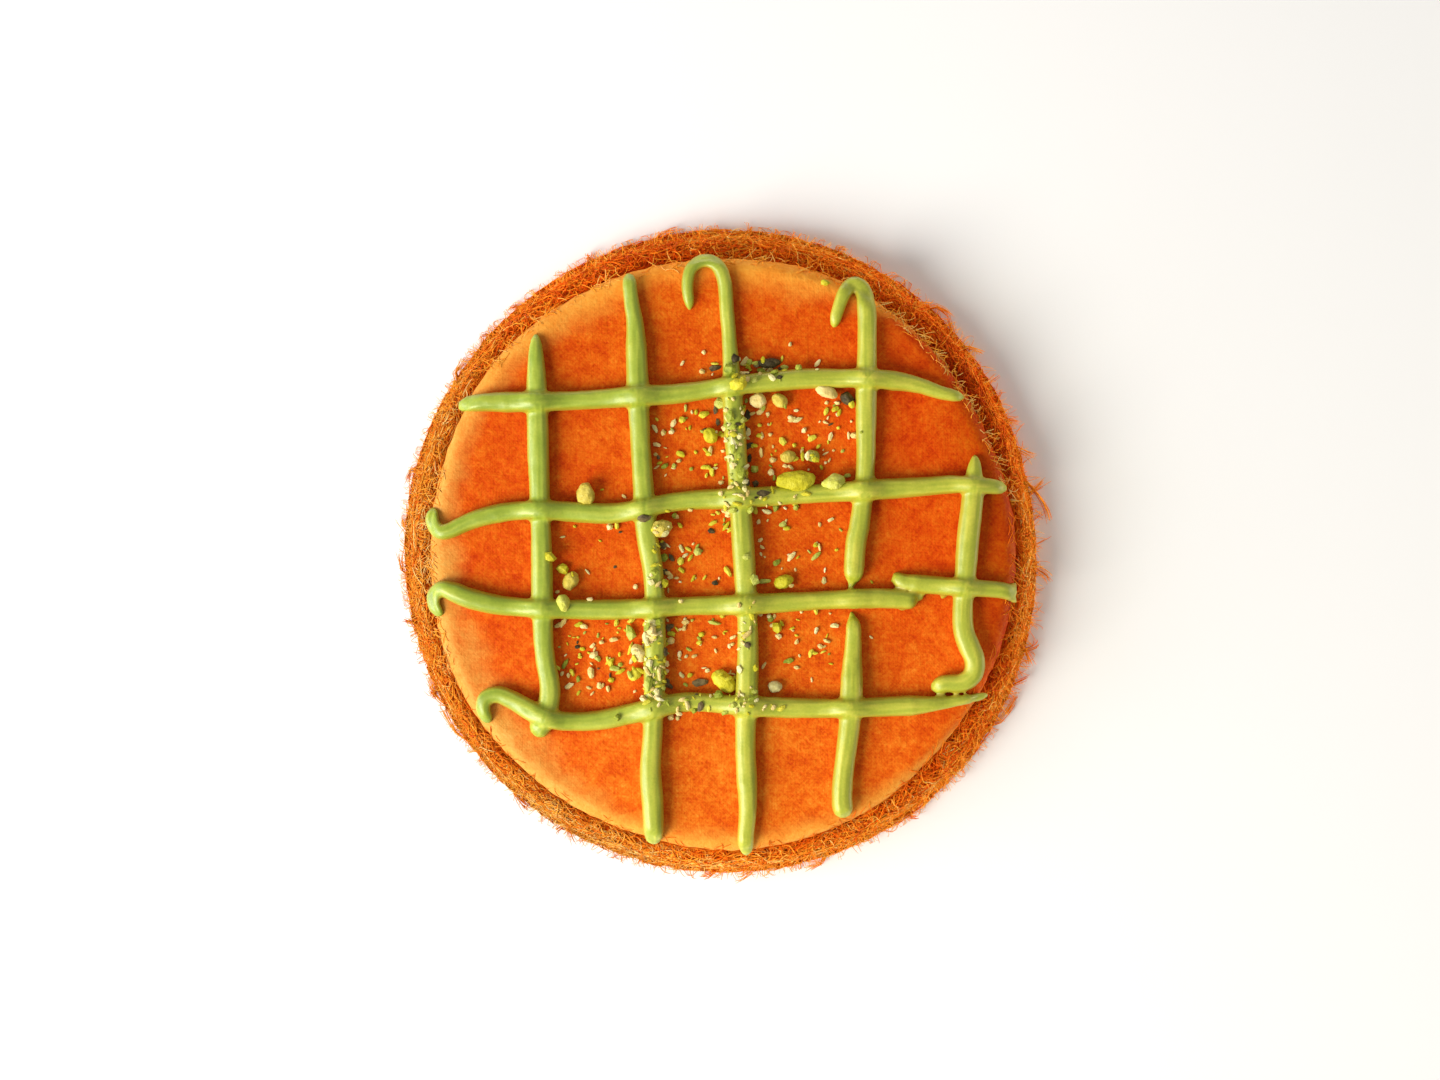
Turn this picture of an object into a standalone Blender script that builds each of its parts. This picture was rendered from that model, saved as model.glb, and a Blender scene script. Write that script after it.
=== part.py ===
"""A round kunafa: a smooth pressed pastry layer on shredded pastry, piped with a lattice of
pistachio cream and scattered with chopped pistachios. Metres, +Z up, origin under the middle."""
import math
import random

import bmesh
import bpy
from mathutils import Matrix, Vector, noise

MM = 0.001
GAP = 0.3 * MM                  # air between pieces that touch

# pressed pastry layer
TOP_RADIUS = 119.0 * MM
TOP_SHIFT = 1.8 * MM            # how far the layer lies off the middle of the fringe
TOP_SHIFT_SIDE = math.radians(195)
TOP_SURFACE = 25.5 * MM         # height of its upper face at the middle
TOP_DOME = 0.9 * MM             # how much lower the face is where the rim's rounding starts
TOP_WAVE = 0.25 * MM            # unevenness of the face
TOP_RINGS = (0.25, 0.5, 0.75, 0.92)     # rings of the flat face, as shares of its radius
TOP_SEGMENTS = 52
RIM_ACROSS = 6.5 * MM           # the rim's rounding, inwards
RIM_DOWN = 6.0 * MM             # the rim's rounding, downwards
RIM_UNEVEN = 0.7 * MM
RIM_INSET = 1.2 * MM            # how far the foot of the side stands in
RIM_STEPS = 5

# shredded pastry underneath, and its loose fringe
BASE_HEIGHT = 12.0 * MM
BASE_RADIUS = 129.0 * MM
BASE_NARROWER = 4.5 * MM        # how much narrower the fringe is at its narrowest side
BASE_NARROW_SIDE = math.radians(10)
# The fringe's profile from under the pressed layer (0) to its foot (1): share of its width, height.
BASE_PROFILE = [(0.0, 12.0 * MM), (0.12, 15.0 * MM), (0.36, 15.6 * MM), (0.66, 12.8 * MM),
                (0.88, 7.0 * MM), (1.0, 1.0 * MM)]
BASE_LUMPS = 1.5 * MM
BASE_LUMP_SIZE = 4.5 * MM
BASE_BEVEL = 0.6 * MM           # between the foot and the flat underside
BASE_SEGMENTS = 72
FRINGE_RADIUS = 134.5 * MM
THREAD_COUNT = 48
THREAD_WIDTH = 1.5 * MM
THREAD_LENGTH = (14 * MM, 25 * MM)
THREAD_START = (0 * MM, 6 * MM)         # how far out from there a thread leaves the fringe
THREAD_CLEARANCE = 2.6 * MM     # between the pressed layer's outline and a thread's middle
THREAD_SLANT = (0.5, 1.5)       # radians away from straight out
THREAD_BEND = 0.4               # largest turn at each of its points (radians)
THREAD_LIFT = (0.5 * MM, 3.5 * MM)
THREAD_POINTS = 5

# piped cream
CREAM_RISE = 0.78               # height of a stroke over its width
CREAM_STEP = 11.0 * MM          # longest distance between cross-sections
CREAM_TURN = 0.38               # a stroke turns at most this much between them (radians)
CREAM_CLIMB = 1.5 * MM          # and rises or drops at most this much
CREAM_SINK = 0.45               # how far an upper stroke sinks into the one below it
CREAM_DROOP = 0.9               # how far round the rim's rounding an overhanging end bends
CREAM_SWELL = 0.05              # share by which a stroke's width comes and goes
CREAM_SWELL_LENGTH = 9.0 * MM
CREAM_TIP = 0.8 * MM            # height of a stroke's pointed end above what it lies on
CREAM_SECTION = [(-0.38, 0.0), (-0.5, 0.38), (-0.33, 0.83), (0.0, 1.0),
                 (0.33, 0.83), (0.5, 0.38), (0.38, 0.0)]

# Route of each stroke over the top, seen from above, in mm. "along" strokes were piped first.
# width in mm; thin = for the start and the end, the share of the width there and how far from the
# end (mm) the width is full; tip = length of the taper at the start and at the end, in mm.
STROKES = {
    "along_1": dict(width=8.5, thin=((0.8, 20), (0.95, 20)), tip=(16, 4), route=[
        (-76.5, 88), (-76, 68), (-75.3, 40), (-74, 0), (-73.4, -31), (-72.6, -42), (-70.5, -56),
        (-73, -67.5), (-77.3, -73.5)]),
    "along_2": dict(width=8.5, thin=((0.72, 30), (0.95, 20)), tip=(6, 6), route=[
        (-39.3, 112.5), (-38, 101), (-36.3, 88), (-34.8, 53), (-32, 10), (-29.2, -9), (-28.4, -31),
        (-28.8, -58), (-29.6, -76), (-30.3, -88), (-29.4, -101), (-29, -118)]),
    "along_3": dict(width=8.7, thin=((0.6, 100), (0.7, 30)), tip=(9, 6), route=[
        (-14.5, 97), (-15.5, 108), (-13.5, 114.5), (-8.5, 117.3), (-3.5, 115.2), (-0.6, 108.5),
        (0.3, 98), (1.6, 81), (3.2, 53), (6.2, 12), (8.2, -20), (8.8, -40), (7.8, -76), (8.8, -101),
        (7.9, -115), (8.4, -122.5)]),
    "along_4": dict(width=8.1, thin=((0.6, 32), (1.0, 20)), tip=(6, 5), route=[
        (43.3, 90), (44.6, 96), (46.6, 102), (49.2, 106.6), (52.5, 107.8), (55.3, 104.8), (56.4, 99),
        (56.7, 88), (56.2, 55), (56, 35), (53.9, 13), (52, 3), (51, -12.5)]),
    "along_5": dict(width=8.7, thin=((0.75, 25), (0.95, 15)), tip=(6, 5), route=[
        (51, -25.5), (51.2, -34), (50.6, -48), (49.8, -66), (48.6, -77), (47.1, -89), (46.5, -99),
        (47.5, -107)]),
    "along_6": dict(width=8.7, thin=((0.85, 16), (0.8, 30)), tip=(13, 5), route=[
        (100.2, 39), (98.8, 20), (97.1, 5), (96, -10), (95, -22), (95.3, -31), (97.4, -37.5),
        (99.8, -43.5), (99, -49.5), (94, -52.6), (88, -52.8), (82.5, -55)]),
    "across_1": dict(width=8.0, thin=((0.85, 20), (0.62, 30)), tip=(6, 6), route=[
        (-108, 58.5), (-99, 60), (-75, 60.2), (-55, 61.1), (-34, 62.5), (-18, 63.6), (5, 66.9),
        (30, 69.3), (46, 69.6), (58, 69.4), (70, 68.3), (78, 66.7), (87, 63.8), (96, 62)]),
    "across_2": dict(width=8.0, thin=((0.72, 36), (0.75, 25)), tip=(5, 7), route=[
        (-118, 18), (-118, 11.8), (-115, 8), (-110.5, 8.7), (-106, 10.9), (-99, 13.6), (-88, 16),
        (-75, 16.8), (-57, 15.8), (-46, 15.4), (-34, 17.2), (-18, 20.4), (10, 21.8), (50, 24.3),
        (78, 26.2), (92, 27.1), (105, 26.4), (113.5, 25.6)]),
    "across_3": dict(width=7.9, thin=((0.68, 20), (0.9, 15)), tip=(5, 4), route=[
        (-114.3, -26), (-117.3, -22), (-117.6, -17.5), (-114.3, -14.8), (-110, -15.8), (-104, -18.2),
        (-97, -20.1), (-88, -21.7), (-70, -22.8), (-46, -23.1), (-18, -21.8), (15, -20.7), (46, -19),
        (62, -18.6), (77, -19.7)]),
    "across_4": dict(width=7.2, thin=((0.8, 10), (0.95, 10)), tip=(4, 3), route=[
        (67, -9), (72, -12), (86, -13.5), (101, -14.5), (111, -15.4), (117, -17.4)]),
    "across_5": dict(width=8.0, thin=((0.75, 30), (0.45, 32)), tip=(6, 6), route=[
        (-95, -69), (-97.6, -63.5), (-96.3, -58.7), (-91.5, -57.2), (-86, -59.3), (-79, -63.2),
        (-71, -66.6), (-62, -68), (-50, -67.4), (-36, -64.3), (-18, -60.4), (-8, -60.4), (5, -61.5),
        (25, -62.5), (46, -62.6), (78, -61.4), (95, -59.5), (106, -57.6)]),
}

# Largest pistachio pieces: centre, length, width, height (mm), turn (degrees), and how far the
# piece is raised by what it leans on (mm).
PISTACHIOS = [
    (27.7, 28.4, 17.0, 9.6, 7.6, 5, 2.0),
    (43.0, 27.3, 9.8, 7.8, 6.4, 18, 3.0),
    (-0.8, -52.0, 12.2, 7.6, 6.2, -40, 0.0),
    (-56.3, 22.8, 8.2, 10.0, 6.2, 0, 1.6),
    (-26.2, 9.4, 10.2, 8.0, 6.4, 12, 2.6),
    (40.0, 64.8, 11.6, 5.6, 5.6, -28, 1.0),
    (12.8, 60.8, 7.4, 6.4, 5.4, 0, 0.0),
    (21.6, 60.8, 7.4, 5.6, 5.0, -35, 0.0),
    (4.8, 66.8, 7.4, 5.2, 5.0, 10, 8.6),
    (-6.2, 46.7, 6.6, 7.4, 5.6, 30, 0.0),
    (-62.2, -11.6, 8.6, 6.2, 5.6, 60, 0.0),
    (-65.0, -20.6, 5.8, 7.8, 5.0, 0, 5.2),
    (-34.8, -40.4, 9.4, 5.8, 5.6, -50, 1.0),
    (23.2, -12.0, 9.0, 5.8, 5.2, 20, 0.0),
    (24.8, 38.4, 7.0, 5.2, 4.6, 15, 0.0),
    (34.8, 38.6, 6.2, 4.8, 4.2, -20, 0.0),
    (-30.0, -32.2, 5.0, 8.6, 4.6, 10, 5.6),
    (-36.6, -49.2, 6.4, 5.0, 4.4, 40, 0.0),
    (19.7, -54.2, 6.6, 5.0, 4.4, 5, 0.0),
    (17.3, 75.8, 10.2, 4.2, 3.2, 4, 0.0),
    (48.6, 61.6, 6.8, 5.4, 4.0, -30, 0.0),
]
PISTACHIO_POINTS = 22
PISTACHIO_FLAT = 0.55           # share of the half height at which the underside is cut flat

# Chopped crumbs on the pastry between the strokes: centre and spread of each patch (mm), count.
CRUMB_PATCHES = [
    (-11, 43, 17, 13, 10),
    (25, 45, 18, 13, 10),
    (-13, 0, 12, 14, 6),
    (-52, -43, 15, 13, 10),
    (-10, -42, 14, 13, 5),
    (28, -2, 17, 13, 5),
    (28, -40, 15, 13, 5),
]
CRUMB_TRIES = 40                # places tried for each crumb of a patch
CRUMB_SIZE = (1.7 * MM, 3.4 * MM)
CRUMB_FLAT = 0.75               # height of a crumb over its size
CRUMB_SINK = 0.25               # share of a crumb's size that is pressed into what it lies on
CRUMB_ROUGH = 0.18
# Crumbs stuck on the cream: how many lie between two distances from a stroke's start (mm).
CRUMBS_ON_CREAM = {
    "along_2": (144, 165, 4),
    "along_3": (92, 118, 4),
    "across_1": (96, 136, 2),
    "across_2": (126, 150, 1),
    "across_3": (118, 146, 2),
    "across_5": (70, 112, 2),
}


def clear_scene():
    for item in list(bpy.data.objects):
        bpy.data.objects.remove(item, do_unlink=True)


def make_material(name, colour, roughness):
    material = bpy.data.materials.new(name)
    material.use_nodes = True
    shader = material.node_tree.nodes["Principled BSDF"]
    shader.inputs["Base Color"].default_value = (*colour, 1.0)
    shader.inputs["Roughness"].default_value = roughness
    shader.inputs["Metallic"].default_value = 0.0
    return material


def make_object(name, bm, material=None):
    """Turns a finished bmesh into an object with outward faces."""
    bmesh.ops.recalc_face_normals(bm, faces=bm.faces)
    mesh = bpy.data.meshes.new(name)
    bm.to_mesh(mesh)
    bm.free()
    piece = bpy.data.objects.new(name, mesh)
    bpy.context.scene.collection.objects.link(piece)
    if material:
        mesh.materials.append(material)
    return piece


def apply_boolean(piece, operation, others, solver="EXACT"):
    """Joins the other objects to the piece, or cuts them out of it, and keeps the others."""
    collection = bpy.data.collections.new("operands")
    bpy.context.scene.collection.children.link(collection)
    for other in others:
        collection.objects.link(other)
    modifier = piece.modifiers.new("boolean", "BOOLEAN")
    modifier.operation = operation
    modifier.solver = solver
    modifier.operand_type = "COLLECTION"
    modifier.collection = collection
    result = bpy.data.meshes.new_from_object(
        piece.evaluated_get(bpy.context.evaluated_depsgraph_get()))
    piece.modifiers.clear()
    piece.data = result
    bpy.data.collections.remove(collection)


def remove_objects(items):
    for item in items:
        bpy.data.objects.remove(item, do_unlink=True)


def keep_largest_body(piece):
    """Drops loose scraps, so that the object stays one closed body."""
    bm = bmesh.new()
    bm.from_mesh(piece.data)
    bm.verts.ensure_lookup_table()
    bodies = []
    seen = set()
    for start in bm.verts:
        if start.index in seen:
            continue
        body = []
        queue = [start]
        seen.add(start.index)
        while queue:
            vert = queue.pop()
            body.append(vert)
            for edge in vert.link_edges:
                other = edge.other_vert(vert)
                if other.index not in seen:
                    seen.add(other.index)
                    queue.append(other)
        bodies.append(body)
    largest = max(bodies, key=len)
    scraps = [vert for body in bodies if body is not largest for vert in body]
    bmesh.ops.delete(bm, geom=scraps, context="VERTS")
    bm.to_mesh(piece.data)
    bm.free()


def ring_mesh(rings):
    """Closed body through rings of equally many points, with a point at each pole."""
    bm = bmesh.new()
    first = bm.verts.new(rings[0])
    last = bm.verts.new(rings[-1])
    loops = [[bm.verts.new(point) for point in ring] for ring in rings[1:-1]]
    count = len(loops[0])
    for i in range(count):
        j = (i + 1) % count
        bm.faces.new((first, loops[0][i], loops[0][j]))
        bm.faces.new((last, loops[-1][j], loops[-1][i]))
        for lower, upper in zip(loops, loops[1:]):
            bm.faces.new((lower[i], upper[i], upper[j], lower[j]))
    return bm


# ---------------------------------------------------------------- pressed pastry layer

def rim_radius(angle):
    """The layer's slightly uneven outline, seen from the middle of the fringe."""
    uneven = math.sin(2 * angle - 2.0) + math.sin(5 * angle + 2.1) + 0.3 * math.sin(11 * angle)
    return TOP_RADIUS + TOP_SHIFT * math.cos(angle - TOP_SHIFT_SIDE) + RIM_UNEVEN * uneven


def face_height(x, y):
    """The upper face without the rim's rounding."""
    reach = math.hypot(x, y) / TOP_RADIUS
    wave = math.sin(x / (17 * MM) + 0.4) * math.cos(y / (19 * MM) + 1.1)
    return TOP_SURFACE - TOP_DOME * reach * reach + TOP_WAVE * wave


def surface_height(x, y):
    """Height of what the toppings lie on, bending over the rim's rounding."""
    inside = rim_radius(math.atan2(y, x)) - RIM_ACROSS
    share = min(max((math.hypot(x, y) - inside) / RIM_ACROSS, 0.0), CREAM_DROOP)
    return face_height(x, y) - RIM_DOWN * (1 - math.sqrt(1 - share * share))


def make_pressed_top(grow=0.0):
    """A low disc with a rounded upper edge and a slightly domed, uneven face."""
    underside = BASE_HEIGHT + GAP - grow
    rings = [(0, 0, face_height(0, 0) + grow)]
    turns = [2 * math.pi * i / TOP_SEGMENTS for i in range(TOP_SEGMENTS)]
    for share in TOP_RINGS:
        radius = share * (TOP_RADIUS - RIM_ACROSS)
        ring = [(radius * math.cos(turn), radius * math.sin(turn)) for turn in turns]
        rings.append([(x, y, face_height(x, y) + grow) for x, y in ring])
    for step in range(RIM_STEPS):
        bend = 0.5 * math.pi * step / (RIM_STEPS - 1)
        ring = []
        for turn in turns:
            radius = rim_radius(turn) + grow - RIM_ACROSS * (1 - math.sin(bend))
            x = radius * math.cos(turn)
            y = radius * math.sin(turn)
            ring.append((x, y, face_height(x, y) + grow - RIM_DOWN * (1 - math.cos(bend))))
        rings.append(ring)
    foot = [rim_radius(turn) + grow - RIM_INSET for turn in turns]
    rings.append([(radius * math.cos(turn), radius * math.sin(turn), underside)
                  for turn, radius in zip(turns, foot)])
    rings.append((0, 0, underside))
    return ring_mesh(rings)


# ---------------------------------------------------------------- shredded pastry

def base_radius(angle):
    """Outline of the packed bed, narrower towards one side."""
    narrower = max(math.cos(angle - BASE_NARROW_SIDE), 0.0) ** 4
    return BASE_RADIUS - BASE_NARROWER * narrower


def base_profile(share):
    """Height of the fringe at a share of its width, level beyond its foot."""
    for (near, high), (far, low) in zip(BASE_PROFILE, BASE_PROFILE[1:]):
        if share <= far:
            return high + (low - high) * (share - near) / (far - near)
    return BASE_PROFILE[-1][1]


def on_circle(radius, turn, height):
    return (radius * math.cos(turn), radius * math.sin(turn), height)


def make_shredded_core():
    """A flat-bottomed bed that swells up lumpily outside the pressed layer."""
    turns = [2 * math.pi * i / BASE_SEGMENTS for i in range(BASE_SEGMENTS)]
    inner = [rim_radius(turn) + GAP for turn in turns]
    rings = [(0, 0, BASE_HEIGHT)]
    rings.append([on_circle(0.9 * radius, turn, BASE_HEIGHT) for turn, radius in zip(turns, inner)])
    for share, height in BASE_PROFILE[:-1]:
        ring = []
        for turn, start in zip(turns, inner):
            radius = start + share * (base_radius(turn) - start)
            spot = Vector(on_circle(radius, turn, height))
            lump = BASE_LUMPS * min(3 * share, 1.0) * noise.noise(spot / BASE_LUMP_SIZE)
            ring.append(on_circle(radius + lump, turn, height + lump))
        rings.append(ring)
    foot = [base_radius(turn) + 0.6 * BASE_LUMPS * math.sin(9 * turn) * math.cos(4 * turn + 1)
            for turn in turns]
    rings.append([on_circle(radius, turn, BASE_PROFILE[-1][1]) for turn, radius in zip(turns, foot)])
    rings.append([on_circle(radius - BASE_BEVEL, turn, 0) for turn, radius in zip(turns, foot)])
    rings.append((0, 0, 0))
    return ring_mesh(rings)


def thread_path(index, rng):
    """Route of one loose thread: it leaves the fringe at a slant, and its end lifts off."""
    angle = 2 * math.pi * (index + rng.uniform(-0.3, 0.3)) / THREAD_COUNT
    radius = rim_radius(angle) + THREAD_CLEARANCE + rng.uniform(*THREAD_START)
    heading = angle + rng.choice((-1, 1)) * rng.uniform(*THREAD_SLANT)
    bend = rng.uniform(-THREAD_BEND, THREAD_BEND)
    step = rng.uniform(*THREAD_LENGTH) / (THREAD_POINTS - 1)
    lift = rng.uniform(*THREAD_LIFT)
    place = Vector((radius * math.cos(angle), radius * math.sin(angle)))
    path = []
    for i in range(THREAD_POINTS):
        angle = math.atan2(place.y, place.x)
        edge = rim_radius(angle)
        reach = max(place.length, edge + THREAD_CLEARANCE)
        reach = min(reach, FRINGE_RADIUS - 0.5 * THREAD_WIDTH)
        spot = place.normalized() * reach
        share = (reach - edge) / (base_radius(angle) - edge)
        height = base_profile(share) + 0.15 * THREAD_WIDTH
        height += lift * (i / (THREAD_POINTS - 1)) ** 2
        path.append(Vector((spot.x, spot.y, max(height, 0.62 * THREAD_WIDTH))))
        place = spot + step * Vector((math.cos(heading), math.sin(heading)))
        heading += bend
    return path


def make_bar(path, width):
    """A three-sided bar along a path, thinner at its ends."""
    loops = []
    bm = bmesh.new()
    last = len(path) - 1
    for i, point in enumerate(path):
        ahead = path[min(i + 1, last)] - path[max(i - 1, 0)]
        side = ahead.cross(Vector((0, 0, 1))).normalized()
        up = side.cross(ahead).normalized()
        half = 0.5 * width * (0.7 if i in (0, last) else 1.0)
        loops.append([bm.verts.new(point + half * (across * side + rise * up))
                      for across, rise in ((1, -0.5), (0, 1), (-1, -0.5))])
    for lower, upper in zip(loops, loops[1:]):
        for i in range(3):
            j = (i + 1) % 3
            bm.faces.new((lower[i], lower[j], upper[j], upper[i]))
    bm.faces.new(loops[0][::-1])
    bm.faces.new(loops[-1])
    bmesh.ops.triangulate(bm, faces=bm.faces)
    return bm


def build_shredded_base(material):
    rng = random.Random(7)
    core = make_shredded_core()
    bmesh.ops.triangulate(core, faces=core.faces)
    base = make_object("shredded_base", core, material)
    threads = [make_object(f"thread_{i}", make_bar(thread_path(i, rng), THREAD_WIDTH))
               for i in range(THREAD_COUNT)]
    apply_boolean(base, "UNION", threads, solver="MANIFOLD")
    remove_objects(threads)
    keep_largest_body(base)


# ---------------------------------------------------------------- piped cream

def smooth_route(points, step=1.0 * MM):
    """Evenly spaced points on a Catmull-Rom curve through the given ones, and its length."""
    points = [Vector(point) * MM for point in points]
    padded = [2 * points[0] - points[1]] + points + [2 * points[-1] - points[-2]]
    fine = []
    for a, b, c, d in zip(padded, padded[1:], padded[2:], padded[3:]):
        for k in range(24):
            t = k / 24
            fine.append(0.5 * ((2 * b) + (c - a) * t + (2 * a - 5 * b + 4 * c - d) * t * t
                               + (3 * b - a - 3 * c + d) * t ** 3))
    fine.append(points[-1])
    lengths = [0.0]
    for a, b in zip(fine, fine[1:]):
        lengths.append(lengths[-1] + (b - a).length)
    count = max(4, round(lengths[-1] / step))
    route = []
    k = 0
    for i in range(count + 1):
        target = lengths[-1] * i / count
        while k < len(fine) - 2 and lengths[k + 1] < target:
            k += 1
        span = lengths[k + 1] - lengths[k]
        route.append(fine[k].lerp(fine[k + 1], (target - lengths[k]) / span if span else 0))
    return route, lengths[-1]


def heading_change(route, i, j):
    """Angle by which a route turns between two of its points."""
    before = (route[i + 1] - route[i]).normalized()
    after = (route[j] - route[j - 1]).normalized()
    return math.atan2(before.cross(after), before.dot(after))


def section_places(route, heights, tip_start, tip_end, step):
    """Which points of a fine route get a cross-section: more where it turns, climbs or ends."""
    last = len(route) - 1
    ends = [(share * tip_start, share * tip_end) for share in (0.12, 0.45, 1.0)]
    first = [max(1, round(near / step)) for near, _ in ends]
    final = [min(last - 1, last - round(far / step)) for _, far in reversed(ends)]
    chosen = sorted(set(first))
    for i in range(chosen[-1] + 1, final[0]):
        since = chosen[-1]
        far = (i - since) * step >= CREAM_STEP
        climbed = abs(heights[i] - heights[since]) >= CREAM_CLIMB
        crest = heights[i - 1] < heights[i] > heights[i + 1]
        turned = abs(heading_change(route, since, i + 1)) >= CREAM_TURN
        if far or climbed or crest or turned:
            chosen.append(i)
    return chosen + sorted(set(final) - set(chosen))


def stroke_width(name, distance, length):
    """Width without the tapers: thinner towards the hooked or pulled ends."""
    stroke = STROKES[name]
    shares = []
    for (thinnest, reach), travelled in zip(stroke["thin"], (distance, length - distance)):
        progress = min(travelled / (reach * MM), 1.0)
        shares.append(thinnest + (1 - thinnest) * progress ** 2)
    swell = 1 + CREAM_SWELL * math.sin(distance / CREAM_SWELL_LENGTH + 7 * stroke["width"])
    return stroke["width"] * MM * min(shares) * swell


def taper(distance, tip):
    """Share of the full section left at a distance from an end."""
    share = min(distance / tip, 1.0)
    return max(math.sqrt(share * (2 - share)), 0.0)


def stroke_lift(spot, lower_routes):
    """How far an upper stroke rises where it crosses the strokes below it."""
    lift = 0.0
    for name, (route, length) in lower_routes.items():
        near = min(range(len(route)), key=lambda k: (route[k] - spot).length)
        distance = (route[near] - spot).length
        width = stroke_width(name, length * near / (len(route) - 1), length)
        rise = (1 - CREAM_SINK) * CREAM_RISE * width
        lift = max(lift, rise * math.exp(-(distance / (0.85 * width)) ** 2))
    return lift


def make_stroke(name, lower_routes, grow=0.0):
    """A soft flat-bottomed bead along its route, with grow added all round it."""
    stroke = STROKES[name]
    route, length = smooth_route(stroke["route"])
    last = len(route) - 1
    step = length / last
    tip_start, tip_end = (tip * MM for tip in stroke["tip"])
    lifts = [stroke_lift(spot, lower_routes) + GAP - grow for spot in route]
    heights = [surface_height(*spot) + lift for spot, lift in zip(route, lifts)]
    rings = []
    for i in section_places(route, heights, tip_start, tip_end, step):
        ahead = (route[i + 1] - route[i - 1]).normalized()
        side = Vector((-ahead.y, ahead.x))
        near, far = max(i - 3, 0), min(i + 3, last)
        turn = heading_change(route, near, far)
        bend_radius = (far - near) * step / max(abs(turn), 1e-6)
        distance = step * i
        fade = taper(distance, tip_start) * taper(length - distance, tip_end)
        width = stroke_width(name, distance, length) * fade
        height = width * CREAM_RISE + 2 * grow
        width += 2 * grow
        ring = []
        for across, up in CREAM_SECTION:
            offset = across * width
            if offset * turn > 0:
                offset = math.copysign(min(abs(offset), 0.85 * bend_radius), offset)
            spot = route[i] + side * offset
            ring.append((spot.x, spot.y,
                         surface_height(spot.x, spot.y) + lifts[i] + up * height))
        rings.append(ring)
    start, end = ((*route[i], heights[i] + CREAM_TIP + grow) for i in (0, last))
    return ring_mesh([start] + rings + [end])


def make_crumb(centre, size, rng):
    """A small angular grain."""
    bm = bmesh.new()
    bmesh.ops.create_icosphere(bm, subdivisions=1, radius=0.5)
    spin = Matrix.Rotation(rng.uniform(0, 2 * math.pi), 3, "Z")
    stretch = Vector((rng.uniform(1.0, 1.5), rng.uniform(0.6, 0.9), CRUMB_FLAT)) * size
    for vert in bm.verts:
        wobble = 1 + rng.uniform(-CRUMB_ROUGH, CRUMB_ROUGH)
        spot = Vector([a * b * wobble for a, b in zip(vert.co, stretch)])
        vert.co = spin @ spot + centre
    return bm


def crumbs_on_stroke(name, lower_routes, rng):
    """Crumbs stuck on the top of a stroke."""
    start, stop, count = CRUMBS_ON_CREAM[name]
    route, length = smooth_route(STROKES[name]["route"])
    crumbs = []
    for i in range(count):
        distance = (start + (stop - start) * (i + rng.uniform(0.2, 0.8)) / count) * MM
        place = route[round(distance / length * (len(route) - 1))]
        width = stroke_width(name, distance, length)
        size = rng.uniform(*CRUMB_SIZE)
        spot = place + Vector((rng.uniform(-0.2, 0.2), rng.uniform(-0.2, 0.2))) * width
        height = surface_height(*spot) + GAP + stroke_lift(place, lower_routes)
        height += 0.93 * CREAM_RISE * width + (0.5 * CRUMB_FLAT - CRUMB_SINK) * size
        crumbs.append(make_object(f"{name}_crumb_{i}",
                                  make_crumb(Vector((*spot, height)), size, rng)))
    return crumbs


def build_cream(material):
    """All the strokes. Returns slightly larger copies, which cut whatever leans on them."""
    rng = random.Random(23)
    along = {name: smooth_route(stroke["route"], 2 * MM)
             for name, stroke in STROKES.items() if name.startswith("along")}
    rim_cutter = make_object("cutter_rim", make_pressed_top(grow=0.6 * GAP))
    cutters = [rim_cutter]
    for name in STROKES:
        lower_routes = {} if name in along else along
        piece = make_object(f"cream_{name}", make_stroke(name, lower_routes), material)
        apply_boolean(piece, "DIFFERENCE", cutters)
        keep_largest_body(piece)
        cutter = make_object(f"cutter_{name}", make_stroke(name, lower_routes, grow=GAP))
        if name in CRUMBS_ON_CREAM:
            crumbs = crumbs_on_stroke(name, lower_routes, rng)
            apply_boolean(piece, "UNION", crumbs)
            remove_objects(crumbs)
            keep_largest_body(piece)
        cutters.append(cutter)
    return cutters


# ---------------------------------------------------------------- pistachios

def make_pistachio(length, width, height, rng):
    """An angular chunk: the hull of points on a squashed ball, its underside nearly flat."""
    bm = bmesh.new()
    for i in range(PISTACHIO_POINTS):
        up = 1 - 2 * (i + 0.5) / PISTACHIO_POINTS
        turn = i * math.pi * (3 - math.sqrt(5))
        across = math.sqrt(1 - up * up)
        wobble = 1 + rng.uniform(-0.13, 0.12)
        spot = Vector((across * math.cos(turn) * length, across * math.sin(turn) * width,
                       max(up, -PISTACHIO_FLAT) * height)) * 0.5 * wobble
        bm.verts.new(spot)
    hull = bmesh.ops.convex_hull(bm, input=bm.verts)
    inner = [item for item in hull["geom_interior"] if isinstance(item, bmesh.types.BMVert)]
    bmesh.ops.delete(bm, geom=inner, context="VERTS")
    return bm


def build_pistachios(material, cutters):
    """The largest pieces, each trimmed to the cream that it leans on."""
    rng = random.Random(5)
    for i, (x, y, length, width, height, turn, raised) in enumerate(PISTACHIOS, start=1):
        bm = make_pistachio(length * MM, width * MM, height * MM, rng)
        bmesh.ops.rotate(bm, verts=bm.verts, cent=(0, 0, 0),
                         matrix=Matrix.Rotation(math.radians(turn), 3, "Z"))
        low = min(vert.co.z for vert in bm.verts)
        floor = max(surface_height(x * MM + vert.co.x, y * MM + vert.co.y) for vert in bm.verts)
        lift = floor + GAP + raised * MM - low
        bmesh.ops.translate(bm, verts=bm.verts, vec=(x * MM, y * MM, lift))
        piece = make_object(f"pistachio_{i:02d}", bm, material)
        apply_boolean(piece, "DIFFERENCE", cutters)
        keep_largest_body(piece)


# ---------------------------------------------------------------- crumbs on the pastry

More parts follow.
